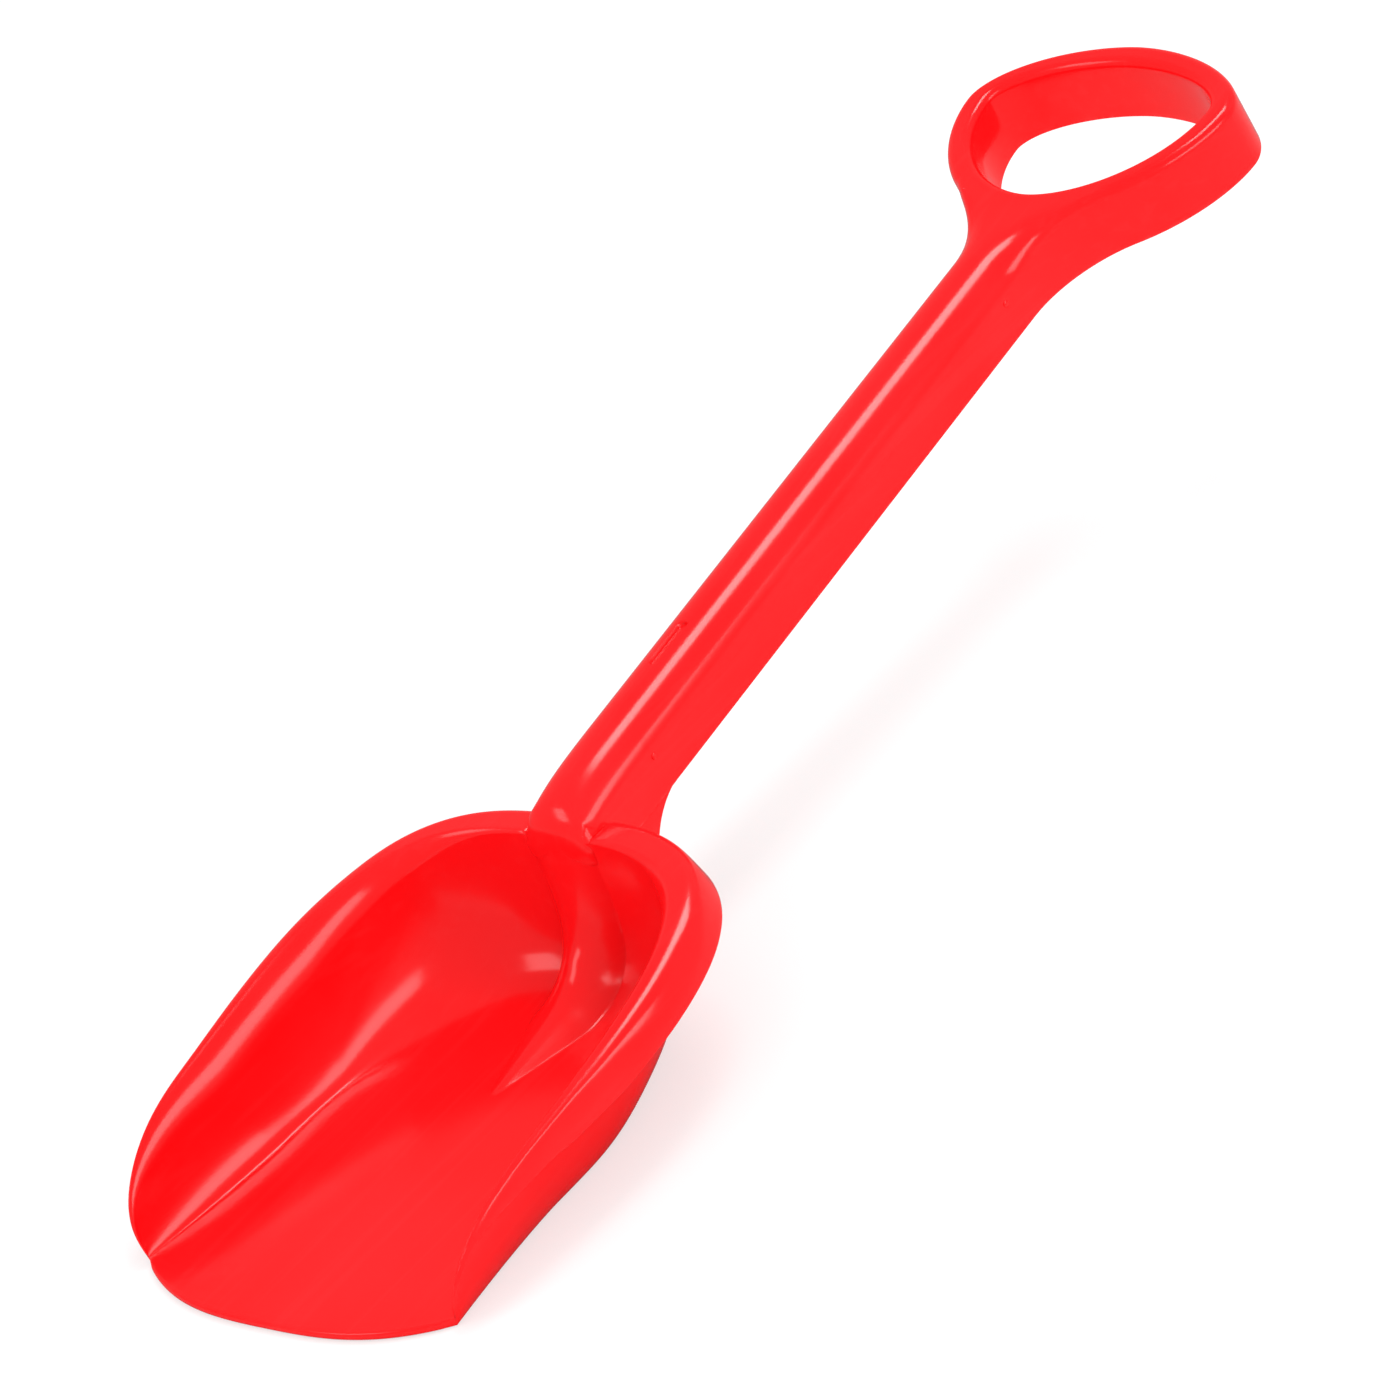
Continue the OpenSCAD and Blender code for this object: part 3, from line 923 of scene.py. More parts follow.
    def column(self, c: float) -> np.ndarray:
        """Makes one closed column: inner wall, fold, rim and outer wall.

        Args:
            c: Column.

        Returns:
            Points from the floor's top over the rim to the floor's underside.
        """
        top, out, neck = self.edge(c), self.out(c), self.neck_share(c)
        y = float(top[1])
        flare = read_table(self.flares, y) * (1 - neck)
        fold = mix(read_table(self.folds, y), self.end_fold, neck)
        fold = min(fold, self.fold_share * (float(top[2]) - self.wall_t))
        end = mix(read_table(self.fold_ends, y), self.end_fold, neck)
        inside = self.wall(c, top - out * flare, self.wall_t, fold, self.inner_powers)
        pull, middle, sink = self.fold_pulls
        rise = inside[-1] + unit(inside[-1] - inside[-2]) * pull * fold
        flat = top + out * mix(end, -flare, middle) - UP * sink * fold
        turned = cubic(inside[-1], rise, flat, top + out * end, self.rim_rows[0])
        t = self.thickness(y)
        corner = np.array([t - flare, -t - self.fold_drop * fold * (flare > 0)])
        outside = self.wall(c, top + out * corner[0] + UP * corner[1], 0.0, 0.0, self.outer_powers)[::-1]
        d, z = self.rim_section(y, end, corner).T
        rim = np.vstack([turned, top + d[:, None] * out + z[:, None] * UP])
        if c > self.neck_near:
            limit = self.shaft.side(rim[:, 1], rim[:, 2]) + self.rim_gap
            near = clamp(1 - (rim[:, 0] - limit) / self.end_run)
            rim[:, 2] -= self.end_drop * (1 - np.sqrt(1 - near**2))
            rim[:, 0] = np.maximum(rim[:, 0], limit)
        return np.vstack([inside, rim, outside])

    def side_columns(self) -> tuple[list[float], list[float]]:
        """Lists the columns, closer together where the form turns.

        Returns:
            Columns from the front corner to the floor's back corner, and on to the ridge.
        """
        corner_n, side_n, turn_n, back_n = self.columns
        turn_power, back_power = self.column_powers
        start = self.corner_len / self.side_len
        turn = math.radians(self.corner_angle) / self.floor_end
        first = [-1 + start * (1 - math.cos(QUARTER * i / corner_n)) for i in range(corner_n + 1)]
        first += [(start - 1) * (1 - i / side_n) for i in range(1, side_n + 1)]
        first += [turn * (i / turn_n) ** turn_power for i in range(1, turn_n + 1)]
        second = [mix(turn, 1.0, 1 - (1 - i / back_n) ** back_power) for i in range(back_n + 1)]
        return first, second

    def floor_plan(self, first: list[float], second: list[float]) -> np.ndarray:
        """Fills the right half of the floor between its side, its back, the ridge and the front edge.

        Args:
            first: Columns along the side.
            second: Columns along the back.

        Returns:
            Grid of plan points, side columns by back columns.
        """
        n, m = len(first), len(second)
        side, back = (np.array([self.foot(c) for c in line]) for line in (first, second))
        split = int(self.floor_split * n)
        nose = -self.side_len - self.nose_len + self.lip
        low = np.linspace(nose, self.tip_y, n - split)
        y = np.concatenate([low, np.linspace(self.tip_y, self.floor_back_len, split + 1)[1:]])
        plain = mix(self.nose_half, self.tip_half, clamp((y - nose) / (self.tip_y - nose)))
        middle = np.stack([np.where(y < self.tip_y, plain, self.ridge_x(y)), y], axis=-1)
        middle[-1] = back[-1]
        t = np.linspace(1.0, self.nose_half / self.half_front, m)
        edge = -self.side_len - (self.nose_len - self.lip) * (1 - t**self.nose_power)
        front = np.stack([self.half_front * t, edge], axis=-1)
        u, v = np.linspace(0, 1, n)[:, None, None], np.linspace(0, 1, m)[None, :, None]
        across = mix(side[:, None], middle[:, None], v)
        along = mix(front[None], back[None], u)
        corners = mix(mix(front[0], front[-1], v), mix(back[0], back[-1], v), u)
        return across + along - corners

    def ridge_lift(self) -> tuple[np.ndarray, np.ndarray]:
        """Works out the ridge's centre profile.

        Returns:
            Stations and rises along the ridge, from its point to the rim.
        """
        wall = self.wall(1.0, self.edge(1.0), self.wall_t, self.end_fold, self.inner_powers)
        floor_y = np.linspace(self.tip_y, self.floor_back_len, self.tip_stations)[:-1]
        y = np.concatenate([floor_y, wall[:, 1]])
        z = np.concatenate([np.full(len(floor_y), self.wall_t), wall[:, 2]])
        path = np.concatenate([[0.0], np.cumsum(np.hypot(np.diff(y), np.diff(z)))])
        path = path / path[-1]
        rise = self.ridge_h * soft_table(self.rise, path, self.rise_blur)
        return y, rise * ease(path / self.rise_start)

    def arch(self, share: float) -> float:
        """Returns the height of the ridge's section at a share of its half width."""
        return max(0.0, 1 - share**2) ** self.ridge_profile

    def ridge_shares(self) -> list[Triple]:
        """Lists shares of the ridge's half width with the heights of its top and of its hollow."""
        shares = [1 - i / self.ridge_columns for i in range(self.ridge_columns + 1)]
        return [(s, self.arch(s), self.arch(s / self.ridge_hollow)) for s in shares]

    def build(self) -> bpy.types.Object:
        """Builds the whole scoop as one closed skin.

        Returns:
            The scoop.
        """
        skin = Skin()
        first, second = self.side_columns()
        right = np.array([self.column(c) for c in (*first, *second[1:])])
        skin.both(right)
        self.add_ridge_wall(skin, right[-1])
        self.add_floor(skin, self.floor_plan(first, second), right[0])
        return skin.build("scoop")

    def add_ridge_wall(self, skin: Skin, last: np.ndarray) -> None:
        """Adds the ridge on the back wall, from the last column across the middle.

        Args:
            skin: Skin that takes the grids.
            last: Last full column beside the ridge.
        """
        n = self.wall_rows + 1
        rim = slice(n - 1, len(last) - n + 1)
        lift = self.ridge_lift()[1][-n:]
        steps = len(last) - 2 * n + 1
        columns = []
        for share, bulge, hollow in self.ridge_shares():
            a = self.pushed(last[:n], lift * bulge, share)
            b = self.pushed(last[-n:], lift[::-1] * hollow, share)
            columns.append(np.vstack([a, segment(a[-1], b[0], steps)[:-1], b]))
        skin.both(np.array(columns), np.array([last[rim], columns[0][rim]]))

    @staticmethod
    def pushed(column: np.ndarray, lift: np.ndarray, share: float) -> np.ndarray:
        """Moves a column of the back wall square to itself.

        Args:
            column: Points of the wall's column, in order along the wall.
            lift: Distance of each point's move, toward the scoop's inside.
            share: Share of the ridge's half width at which the moved column stands.

        Returns:
            The moved column.
        """
        way = np.gradient(column[:, 1:], axis=0)
        way = way / np.maximum(np.linalg.norm(way, axis=1, keepdims=True), TINY)
        sign = 1.0 if column[-1, 2] > column[0, 2] else -1.0
        way[0 if sign > 0 else -1] = (sign, 0.0)
        normal = np.stack([-way[:, 1], way[:, 0]], axis=-1) * sign
        moved = column.copy()
        moved[:, 0] = column[:, 0] * share
        moved[:, 1:] += normal * lift[:, None]
        return moved

    def add_floor(self, skin: Skin, plan: np.ndarray, corner: np.ndarray) -> None:
        """Adds the floor's top and underside, the rounded front edge and the front corners.

        Args:
            skin: Skin that takes the grids.
            plan: Grid of the floor's plan points.
            corner: Column at the front corner.
        """
        top, base = (np.insert(plan, 2, z, axis=-1) for z in (self.wall_t, 0.0))
        stations, rise = (line[: self.tip_stations] for line in self.ridge_lift())
        x, y = plan[:, -1].T
        lift = np.interp(y, stations, rise, left=0.0)
        sections = self.ridge_shares()
        tops = np.array([np.stack([x * s, y, self.wall_t + lift * a], axis=-1) for s, a, _ in sections])
        bases = np.array([np.stack([x * s, y, lift * b], axis=-1) for s, _, b in sections])
        front, under = np.vstack([top[0], tops[1:, 0]]), np.vstack([base[0], bases[1:, 0]])
        reach = np.zeros_like(front)
        reach[:, 1] = -np.minimum(1.0, (self.half_front - front[:, 0]) / self.lip_corner)
        centre = (front + under) / 2
        swing = np.linspace(0, math.pi, self.lip_steps)[:, None, None]
        lip = centre + (front - centre) * np.cos(swing) + reach * self.lip * np.sin(swing)
        skin.both(top, base, tops, bases, lip, np.vstack([corner, lip[::-1][1:-1, 0]]))


@dataclass
class Handle(Piece):
    """The hollow handle: knee over the rim, shaft with its slot, yoke and ring grip."""

    shaft: ShaftFrame
    wall_t: float = 2.4
    length: float = 220.0
    end_half: float = 14.3
    slot_s: float = 56.0
    slot_len: float = 18.0
    slot_w: float = 3.4
    slot_depth: float = 1.2
    slot_edge: float = 0.3
    slot_margin: float = 1.0
    strip_half: float = 3.0
    grip_s: float = 296.1
    hole_half: float = 43.8
    hole_front: float = 39.4
    hole_back: float = 18.5
    hole_power: float = 1.83
    band_w: float = 9.7
    grip_h: float = 21.8
    edge_r: float = 3.4
    least_edge_r: float = 0.8
    hole_edge_r: float = 2.9
    hole_draft: float = 0.8
    flare_start: float = 224.0
    flare_angle: float = -51.3
    flare_step: float = 0.5
    flare_share: float = 0.84
    flare_pulls: Pair = (39.0, 40.0)
    flat_power: float = 0.8
    knee_s: float = 22.0
    knee_top: Pair = (93.9, 46.6)
    knee_pull: Pair = (29.0, 15.0)
    knee_grow: float = 0.35
    knee_grow_run: Pair = (0.4, 0.2)
    knee_drop: float = 5.0
    knee_feet: Table = ((0.0, 0.0), (0.4, 1.0), (0.56, 2.0), (1.0, 3.0))
    knee_path: Table = ((132.77, 46.176), (98.4, 41.2), (98.3, 49.6), (95.9, 48.4))
    inner_foot: float = 2.0
    nose_depth: float = 0.3
    nose_sag: float = 0.1
    nose_steps: int = 10
    knee_steps: int = 48
    shaft_steps: tuple[int, int, int] = (20, 61, 56)
    yoke_steps: int = 40
    ring_steps: int = 100
    top_rows: tuple[int, int] = (12, 22)
    ring_turn: int = 3
    wall_rows: int = 12
    hole_rows: tuple[int, int] = (8, 8)
    nodes: tuple[str, ...] = ("knee", "shaft", "yoke", "grip")

    def egg(self, angle: float, grow: float) -> np.ndarray:
        """Finds a point of the ring's egg-shaped outline.

        Args:
            angle: Angle in degrees, from -90 at the yoke to 90 at the far end.
            grow: Distance outside the hole's lower edge.

        Returns:
            Place across and along the shaft.
        """
        a, e = math.radians(angle), 2 / self.hole_power
        reach = self.hole_back if angle > 0 else self.hole_front
        along = self.grip_s + (reach + grow) * signed_power(math.sin(a), e)
        return np.array([(self.hole_half + grow) * signed_power(math.cos(a), e), along])

    def flare(self, share: float) -> np.ndarray:
        """Finds a point of the outline that sweeps from the shaft's side into the ring.

        Args:
            share: Share of the way from the shaft to the ring.

        Returns:
            Place across and along the shaft.
        """
        start = np.array([self.half_at(self.flare_start), self.flare_start])
        turns = (-self.flare_step, 0.0, self.flare_step)
        near, end, far = (self.egg(self.flare_angle + turn, self.band_w) for turn in turns)
        first, last = self.flare_pulls
        return hermite(start, np.array([0.0, first]), end, unit(far - near) * last, share)

    def half_at(self, s: float) -> float:
        """Returns the shaft's half width at its lower edge."""
        return mix(self.shaft.half, self.end_half, float(clamp(s / self.length)))

    def border(self, inset: float) -> float:
        """Returns how far outside the hole the skin's flat top starts."""
        return self.hole_draft + (self.wall_t if inset else self.hole_edge_r)

    def shaft_rows(self, half: float, height: float, crown: float) -> tuple[np.ndarray, np.ndarray]:
        """Makes the shaft's half section, with fine rows near the middle for the slot.

        Args:
            half: Half width at the lower edge.
            height: Height of the crown.
            crown: Radius of the crown.

        Returns:
            Distances from the middle and heights, from the crown to the lower edge.
        """
        fine, coarse = self.top_rows
        strip = self.strip_half / self.shaft.crown_r
        a = [math.asin(strip * i / fine) for i in range(fine + 1)]
        a = np.array(a + [mix(a[-1], QUARTER, i / coarse) for i in range(1, coarse + 1)])
        steps = self.wall_rows + 1
        x = np.concatenate([crown * np.sin(a), np.linspace(crown, half, steps)[1:]])
        w = np.concatenate([height - crown * (1 - np.cos(a)), np.linspace(height - crown, 0, steps)[1:]])
        return x, w

    def ring_rows(self, width: float, height: float, edge: float) -> tuple[np.ndarray, np.ndarray]:
        """Makes the ring's flat-topped section from the inner border to the outer lower edge.

        Args:
            width: Distance between the borders.
            height: Height of the flat top.
            edge: Radius of the outer edge.

        Returns:
            Distances from the inner border and heights.
        """
        count = sum(self.top_rows)
        turn = count // self.ring_turn
        flat = np.linspace(0, width - edge, count - turn + 1)
        a = np.linspace(0, QUARTER, turn + 1)[1:]
        wall = np.linspace(height - edge, 0, self.wall_rows + 1)[1:]
        x = np.concatenate([flat, width - edge + edge * np.sin(a), np.full_like(wall, width)])
        w = np.concatenate([np.full_like(flat, height), height - edge + edge * np.cos(a), wall])
        return x, w

    def knee_stations(self, inset: float) -> Rows:
        """Makes the stations of the knee, from its nose in the scoop back to the shaft.

        Args:
            inset: Distance of the skin inside the outer one.

        Returns:
            Rows of points for each station.
        """
        s = self.shaft
        x, w = self.shaft_rows(s.half, s.height, s.crown_r)
        px = x / s.half
        start = s.point(0.0, self.knee_s, s.height - inset)[1:]
        along = (s.point(0.0, 1.0, 0.0) - s.point(0.0, 0.0, 0.0))[1:]
        end = np.array(self.knee_top) + np.array([inset, 0.0])
        pull, lift = self.knee_pull
        path = cubic(start, start - along * pull, end + np.array([0.0, lift]), end, self.knee_steps)
        feet = np.array(self.knee_path)
        grow_at, grow_run = self.knee_grow_run
        stations = []
        for i, top in enumerate([start, *path]):
            t = i / self.knee_steps
            k = min(read_table(self.knee_feet, t), self.inner_foot if inset else math.inf)
            j = min(len(feet) - 2, int(k))
            foot = mix(feet[j], feet[j + 1], k - j)
            rise = mix(w / s.height, np.sqrt(np.maximum(0, 1 - px**2)), t * t)
            half = float(s.side(*foot)) + self.knee_grow * float(ease((t - grow_at) / grow_run))
            if inset:
                half = mix(s.half, s.crown_r, t) - inset
            stations.append(np.column_stack([half * px, mix(foot, top, rise[:, None])]))
        if not inset:
            stations += self.knee_nose(stations[-1], px)
        return stations[::-1]

    def knee_nose(self, last: np.ndarray, px: np.ndarray) -> Rows:
        """Tucks the end of the knee's nose under itself into the back wall.

        Args:
            last: Last station of the knee.
            px: Unit distances of the rows from the middle.

        Returns:
            Stations that follow the last one.
        """
        stations = []
        for i in range(1, self.nose_steps + 1):
            a = QUARTER * i / self.nose_steps
            moved = last.copy()
            depth = (last[-1, 1] - last[:, 1]) * mix(self.nose_depth, 1.0, math.cos(a))
            moved[:, 1] = last[-1, 1] - depth
            moved[:, 2] = last[:, 2] - self.knee_drop * math.sin(a) * (1 - self.nose_sag * px**2)
            stations.append(moved)
        return stations

    def slot_drop(self, x: np.ndarray, s: float) -> np.ndarray:
        """Works out how deep the slot in the crown is.

        Args:
            x: Distances of points from the middle.
            s: Station along the shaft.

        Returns:
            Depths below the crown.
        """
        past = max(0.0, abs(s - self.slot_s) - (self.slot_len - self.slot_w) / 2)
        off = np.hypot(x, past) - self.slot_w / 2
        return self.slot_depth * ease((self.slot_edge - off) / (2 * self.slot_edge))

    def shaft_stations(self, inset: float) -> Rows:
        """Makes the stations of the straight shaft, without its first one.

        Args:
            inset: Distance of the skin inside the outer one.

        Returns:
            Rows of points for each station.
        """
        s = self.shaft
        before_n, slot_n, after_n = self.shaft_steps
        reach = self.slot_len / 2 + self.slot_margin
        fine = np.linspace(self.slot_s - reach, self.slot_s + reach, slot_n)
        before = np.linspace(self.knee_s, fine[0], before_n)[1:-1]
        after = np.linspace(fine[-1], self.flare_start, after_n)[1:]
        stations = []
        for place in (*before, *fine, *after):
            half = self.half_at(place)
            x, w = self.shaft_rows(half - inset, s.height - inset, s.crown_at(half) - inset)
            if not inset:
                w = w - self.slot_drop(x, place)
            stations.append(s.point(x, place, w))
        return stations

    def mixed(self, start: np.ndarray, end: np.ndarray, share: float, inset: float) -> np.ndarray:
        """Makes a station between the shaft's section and the ring's.

        Args:
            start: Inner border, across and along.
            end: Outer border at the lower edge.
            share: 0 for the shaft's section, 1 for the ring's.
            inset: Distance of the skin inside the outer one.

        Returns:
            Rows of points from the inner border to the lower edge.
        """
        s = self.shaft
        width, way = float(np.linalg.norm(end - start)), unit(end - start)
        crown = s.crown_at(self.end_half)
        shaft = self.shaft_rows(max(width, crown) - inset, s.height - inset, crown - inset)
        edge = max(self.least_edge_r, self.edge_r - inset)
        ring = self.ring_rows(width - inset, self.grip_h - inset, edge)
        x, w = (mix(a, b, share) for a, b in zip(shaft, ring))
        return s.point(start[0] + way[0] * x, start[1] + way[1] * x, w)

    def yoke_stations(self, inset: float) -> Rows:
        """Makes the stations from the shaft's end to the ring's hole, without the first and last.

        Args:
            inset: Distance of the skin inside the outer one.

        Returns:
            Rows of points for each station.
        """
        last = self.egg(-90.0, self.border(inset))[1]
        stations = []
        for i in range(1, self.yoke_steps):
            t = i / self.yoke_steps
            start = np.array([0.0, mix(self.flare_start, last, t)])
            flatness = float(ease(t)) ** self.flat_power
            stations.append(self.mixed(start, self.flare(self.flare_share * t), flatness, inset))
        return stations

    def ring_angles(self) -> np.ndarray:
        """Returns the angles of the ring's stations on the right half."""
        return np.linspace(-90.0, 90.0, self.ring_steps + 1)

    def ring_stations(self, inset: float) -> Rows:
        """Makes the stations round the ring, from the yoke's middle to the far end.

        Args:
            inset: Distance of the skin inside the outer one.

        Returns:
            Rows of points for each station.
        """
        stations = []
        for angle in self.ring_angles():
            end = self.egg(angle, self.band_w)
            if angle < self.flare_angle:
                t = (angle + 90.0) / (self.flare_angle + 90.0)
                end = self.flare(mix(self.flare_share, 1.0, t))
            stations.append(self.mixed(self.egg(angle, self.border(inset)), end, 1.0, inset))
        return stations

    def hole_stations(self, inset: float) -> Rows:
        """Makes the wall of the ring's hole, from the top border to the lower edge.

        Args:
            inset: Distance of the skin inside the outer one.

        Returns:
            Rows of points for each station.
        """
        edge_n, wall_n = self.hole_rows
        r, d, h = self.hole_edge_r, self.hole_draft, self.grip_h
        a = np.linspace(0, QUARTER, edge_n + 1)
        if inset:
            grow = np.linspace(d + inset, inset, edge_n + wall_n + 1)
            w = np.linspace(h - inset, 0.0, edge_n + wall_n + 1)
        else:
            grow = np.concatenate([d + r * (1 - np.sin(a)), np.linspace(d, 0, wall_n + 1)[1:]])
            w = np.concatenate([h - r + r * np.cos(a), np.linspace(h - r, 0, wall_n + 1)[1:]])
        plans = [np.array([self.egg(angle, g) for g in grow]).T for angle in self.ring_angles()]
        return [self.shaft.point(x, s, w) for x, s in plans]

    def build(self) -> bpy.types.Object:
        """Builds the whole handle as one closed skin.

        Returns:
            The handle.
        """
        makers = (self.knee_stations, self.shaft_stations, self.yoke_stations, self.ring_stations)
        insets = (0.0, self.wall_t)
        outer, inner = (np.array([row for make in makers for row in make(inset)]) for inset in insets)
        hole, hollow = (np.array(self.hole_stations(inset)) for inset in insets)
        extra = len(outer) - len(inner)
        pad = np.repeat(inner[:1, -1], extra + 1, axis=0)
        skin = Skin()
        skin.both(outer, inner, np.stack([outer[extra:, -1], inner[:, -1]]), np.stack([outer[0], inner[0]]))
        skin.both(np.stack([outer[: extra + 1, -1], pad]))
        skin.both(hole, hollow, np.stack([hole[:, -1], hollow[:, -1]]))
        return skin.build("handle")


@dataclass
class NeckWebs(Piece):
    """Two plates under the shaft's sides that brace it against the blade's back."""

    shaft: ShaftFrame
    scoop: Scoop
    plate_t: float = 1.8
    inner_x: float = 12.6
    front_y: float = 98.4
    run: float = 27.0
    drop: float = 20.0
    hollow_r: float = 26.0
    sweep: float = 70.0
    sweep_points: int = 19
    bevel: float = 0.4
    bevel_steps: int = 3
    bevel_angle: float = 50.0
    nodes: tuple[str, ...] = ("neck_webs",)

    def outline(self) -> np.ndarray:
        """Draws the outline of a plate seen from the side.

        Returns:
            Stations and heights, in order round the plate.
        """
        s, sc, r = self.shaft, self.scoop, self.hollow_r
        points = [(self.front_y, s.neck_z - (s.neck_y - self.front_y) * math.tan(s.pitch))]
        for a in np.radians(90 + self.sweep * np.linspace(0, 1, self.sweep_points)):
            points.append(s.point(0.0, self.run + r * math.cos(a), r * (math.sin(a) - 1))[1:])
        under = sc.edge(1.0) + np.array([0.0, sc.wall_t * sc.out(1.0)[1], -sc.wall_t])
        wall = sc.wall(1.0, under, 0.0, 0.0, sc.outer_powers)[:, 1:]
        return np.array(points + [p for p in wall if -self.drop < s.above(*p) < 0])

    def build(self) -> bpy.types.Object:
        """Builds both plates with softened edges.

        Returns:
            The plates as one object.
        """
        work = bmesh.new()
        for side in Side:
            ring = [(side.value * self.inner_x, y, z) for y, z in self.outline()]
            add_plate(work, ring, (side.value * self.plate_t, 0.0, 0.0))
        bmesh.ops.recalc_face_normals(work, faces=work.faces)
        edges = [e for e in work.edges if e.calc_face_angle(0.0) > math.radians(self.bevel_angle)]
        bmesh.ops.bevel(
            work, geom=edges, offset=self.bevel * MM, segments=self.bevel_steps, profile=0.5, affect="EDGES"
        )
        return finish_plates("neck_webs", work)


@dataclass
class ShaftRibs(RowPiece):
    """Cross ribs inside the shaft's open underside, repeated along it."""

    shaft: ShaftFrame
    handle: Handle
    count: int = 6
    plate_t: float = 1.8
    recess: float = 2.5
    margin: float = 0.6
    nodes: tuple[str, ...] = ("shaft_ribs",)

    def build(self) -> bpy.types.Object:
        """Builds one rib.

        Returns:
            The rib, at the origin.
        """
        s, h = self.shaft, self.handle
        grow = h.wall_t - self.margin
        x, w = h.shaft_rows(h.end_half - grow, s.height - grow, s.crown_r - grow - (s.half - h.end_half))
        keep = w > self.recess
        foot = np.interp(self.recess, w[::-1], x[::-1])
        x, w = np.append(x[keep], foot), np.append(w[keep], self.recess)
        x, w = np.append(-x[::-1], x[1:]), np.append(w[::-1], w[1:])
        origin = s.point(0.0, 0.0, 0.0)
        work = bmesh.new()
        ring = s.point(x, -self.plate_t / 2, w) - origin
        add_plate(work, ring, s.point(0.0, self.plate_t, 0.0) - origin)
        return finish_plates("shaft_ribs", work)

    def row(self) -> tuple[int, np.ndarray, np.ndarray]:
        """Returns the number of ribs, the first one's place and the way to the next."""
        first = self.shaft.point(0.0, self.handle.length / (self.count + 1), 0.0)
        return self.count, first, first - self.shaft.point(0.0, 0.0, 0.0)


@dataclass
class GateNibs(RowPiece):
    """Two small moulding marks on the right side of the shaft."""

    shaft: ShaftFrame
    handle: Handle
    places: Pair = (22.0, 218.0)
    level: float = 10.4
    radius: float = 1.1
    height: float = 0.6
    rows: int = 14
    steps: int = 20

    def build(self) -> bpy.types.Object:
        """Builds one mark.

        Returns:
            The mark, at the origin.
        """
        a = np.linspace(0, math.pi, self.rows + 1)[:, None]
        b = np.linspace(0, 2 * math.pi, self.steps + 1)[None]
        reach = self.radius * np.sin(a)
        grid = np.broadcast_arrays(self.height * np.cos(a), reach * np.cos(b), reach * np.sin(b))
        skin = Skin()
        skin.grid(np.stack(grid, axis=-1))
        return skin.build("gate_nibs")

    def row(self) -> tuple[int, np.ndarray, np.ndarray]:
        """Returns the number of marks, the first one's place and the way to the next."""
        first, last = (self.shaft.point(self.side(s), s, self.level) for s in self.places)
        return len(self.places), first, last - first

    def side(self, s: float) -> float:
        """Finds the shaft's side at the marks.

        Args:
            s: Station along the shaft.

        Returns:
            The half width there.
        """
        half = self.handle.half_at(s)
        crown = self.shaft.crown_at(half)
        return mix(half, crown, clamp(self.level / (self.shaft.height - crown)))


def aim(place: Vector, right: Sequence[float], up: Sequence[float], back: Sequence[float]) -> Matrix:
    """Returns the matrix of an object at a place whose axes point the given ways."""
    return Matrix.Translation(place) @ Matrix((right, up, back)).transposed().to_4x4()


@dataclass
class Lamp:
    """A rectangular soft light turned toward a point, in metres."""

    name: str
    way: Triple
    distance: float
    size: Pair
    level: float
    target: Triple = (0.0, 0.18, 0.05)
    long_axis: Triple = (0.0, 1.0, 0.0)

    def build(self) -> None:
        """Builds the lamp; its level is the brightness of its face."""
        data = bpy.data.lights.new(self.name, "AREA")
        data.shape = "RECTANGLE"
        data.size, data.size_y = self.size
        data.energy = self.level * math.pi * self.size[0] * self.size[1]
        back = Vector(self.way).normalized()
        up = Vector(self.long_axis)
        up = (up - back * up.dot(back)).normalized()
        place = Vector(self.target) + back * self.distance
        link(self.name, data).matrix_world = aim(place, up.cross(back), up, back)


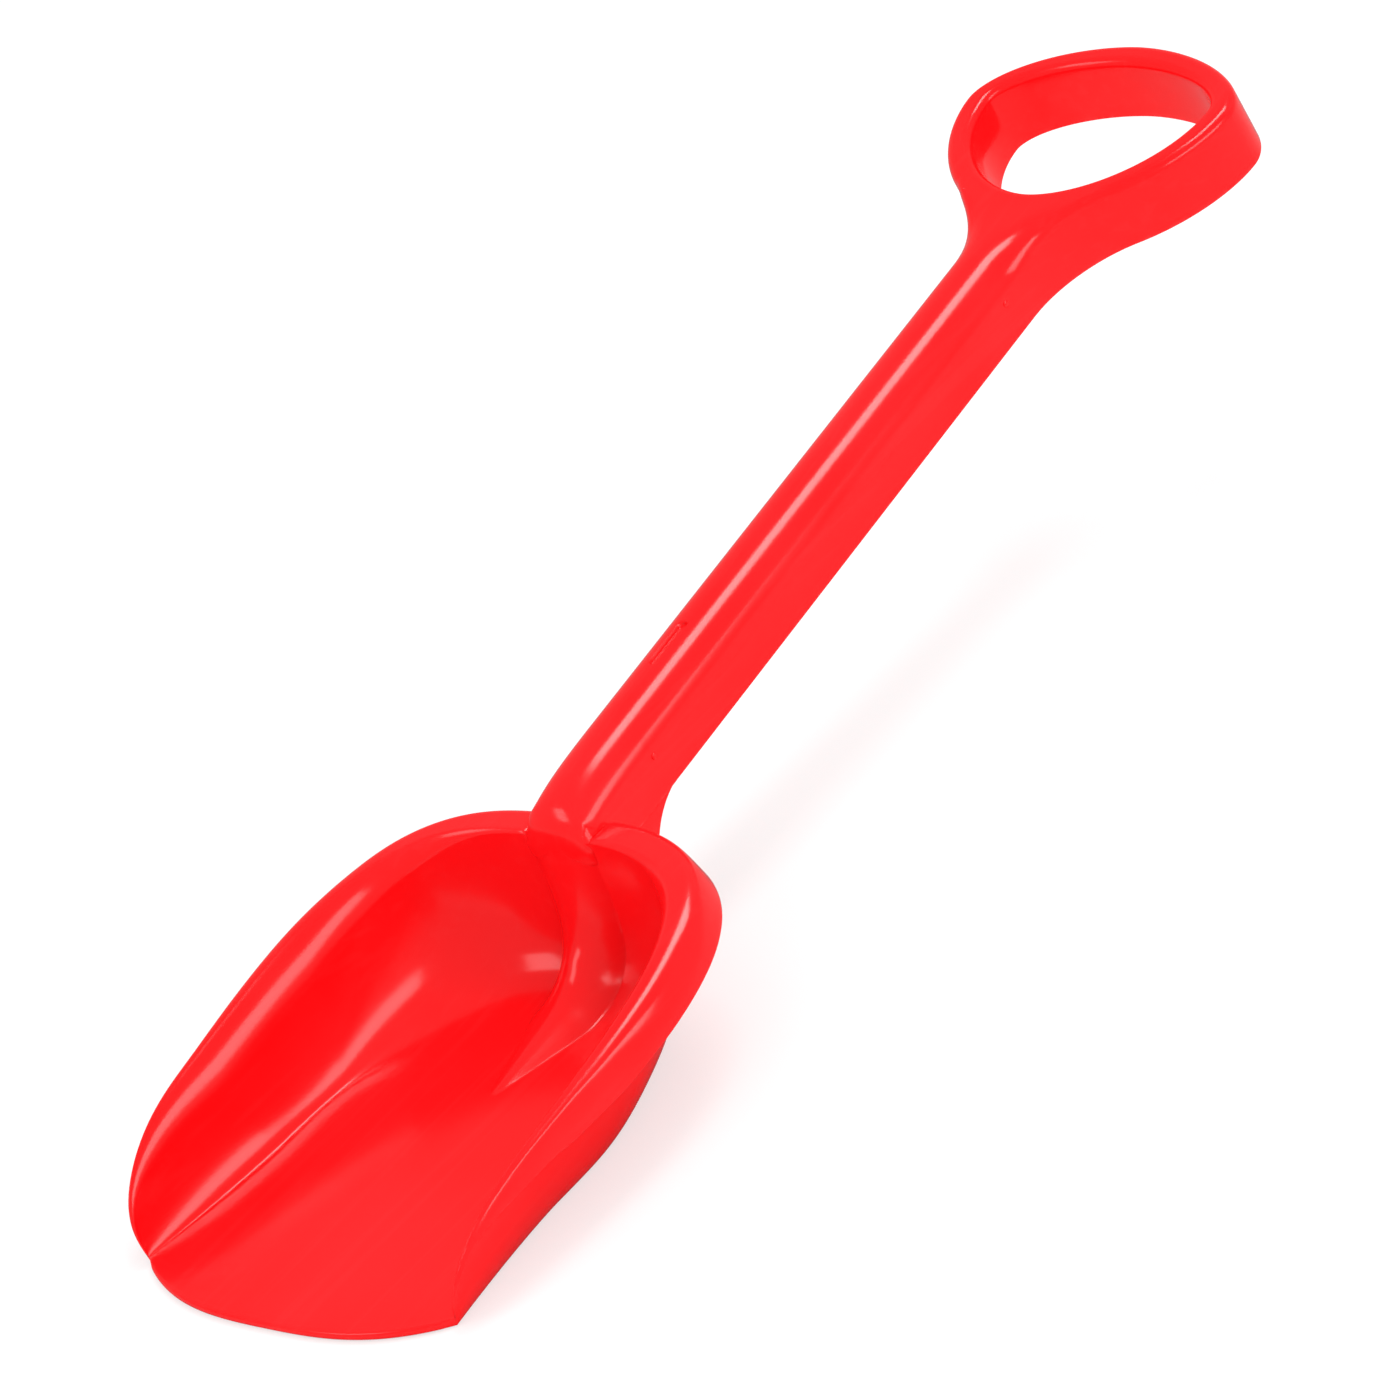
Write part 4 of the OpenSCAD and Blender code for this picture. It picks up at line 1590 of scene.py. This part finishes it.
@dataclass
class Studio:
    """Camera, floor, surroundings and lights, in metres."""

    eye: Triple = (1.72604, -1.20731, 1.23784)
    right: Triple = (0.718497, 0.599047, -0.353418)
    up: Triple = (-0.089767, 0.583746, 0.806959)
    back: Triple = (0.689713, -0.548073, 0.473194)
    lens: float = 220.25
    sensor: float = 36.0
    clip: Pair = (0.05, 50.0)
    floor_half: float = 6.0
    floor_z: float = -0.0004
    ambient: float = 0.98
    mirror: float = 0.215
    lamps: tuple[Lamp, ...] = (
        Lamp("key", (0.05, 0.45, 0.89), 1.68, (0.5, 0.9), 7.0),
        Lamp("side", (0.87, 0.07, 0.46), 1.7, (0.42, 1.5), 3.4, (0.0, 0.06, 0.03), (-0.05, -0.64, 0.18)),
        Lamp("front", (-0.44, -0.6, 0.66), 1.6, (0.5, 0.7), 2.3, (0.0, 0.09, 0.04)),
    )

    def build_camera(self) -> None:
        """Places the camera where the photo was taken from."""
        data = bpy.data.cameras.new("camera")
        data.sensor_width, data.lens = self.sensor, self.lens
        data.clip_start, data.clip_end = self.clip
        obj = link("camera", data)
        obj.matrix_world = aim(Vector(self.eye), self.right, self.up, self.back)
        bpy.context.scene.camera = obj

    def build_floor(self) -> None:
        """Lays the floor just under the shovel."""
        h, z = self.floor_half, self.floor_z
        mesh = bpy.data.meshes.new("studio_floor")
        mesh.from_pydata([(-h, -h, z), (h, -h, z), (h, h, z), (-h, h, z)], [], [(0, 1, 2, 3)])
        mesh.materials.append(StudioFloor().make())
        obj = link("studio_floor", mesh)

    def build_world(self) -> None:
        """Surrounds the scene with even light that looks white to the camera."""
        world = bpy.data.worlds.new("studio_world")
        world.use_nodes = True
        g = Graph(world.node_tree)
        camera, glossy, through = g.rays()
        level = self.ambient + glossy * (self.mirror - self.ambient)
        level = level + (camera + through) * (1.0 - self.ambient)
        white = g.add("ShaderNodeBackground", {}, {"Color": (1.0, 1.0, 1.0, 1.0), "Strength": level})
        g.node("ShaderNodeOutputWorld", {}, {"Surface": white})
        bpy.context.scene.world = world

    def build(self) -> None:
        """Builds the whole studio."""
        self.build_camera()
        self.build_floor()
        self.build_world()
        for lamp in self.lamps:
            lamp.build()
            LOG.info("lamp %s", lamp.name)
        bpy.context.scene.view_settings.view_transform = "Standard"


def main() -> None:
    """Builds the shovel's looks and the studio round it."""
    logging.basicConfig(level=logging.INFO, format="%(name)s %(message)s")
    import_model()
    plastic = GlossPlastic().make()
    shaft = ShaftFrame()
    scoop, handle = Scoop(shaft), Handle(shaft)
    for piece in (scoop, handle, NeckWebs(shaft, scoop), ShaftRibs(shaft, handle), GateNibs(shaft, handle)):
        obj = piece.build()
        piece.dress(obj, plastic)
        LOG.info("%s done", obj.name)
    Studio().build()


if __name__ == "__main__":
    main()
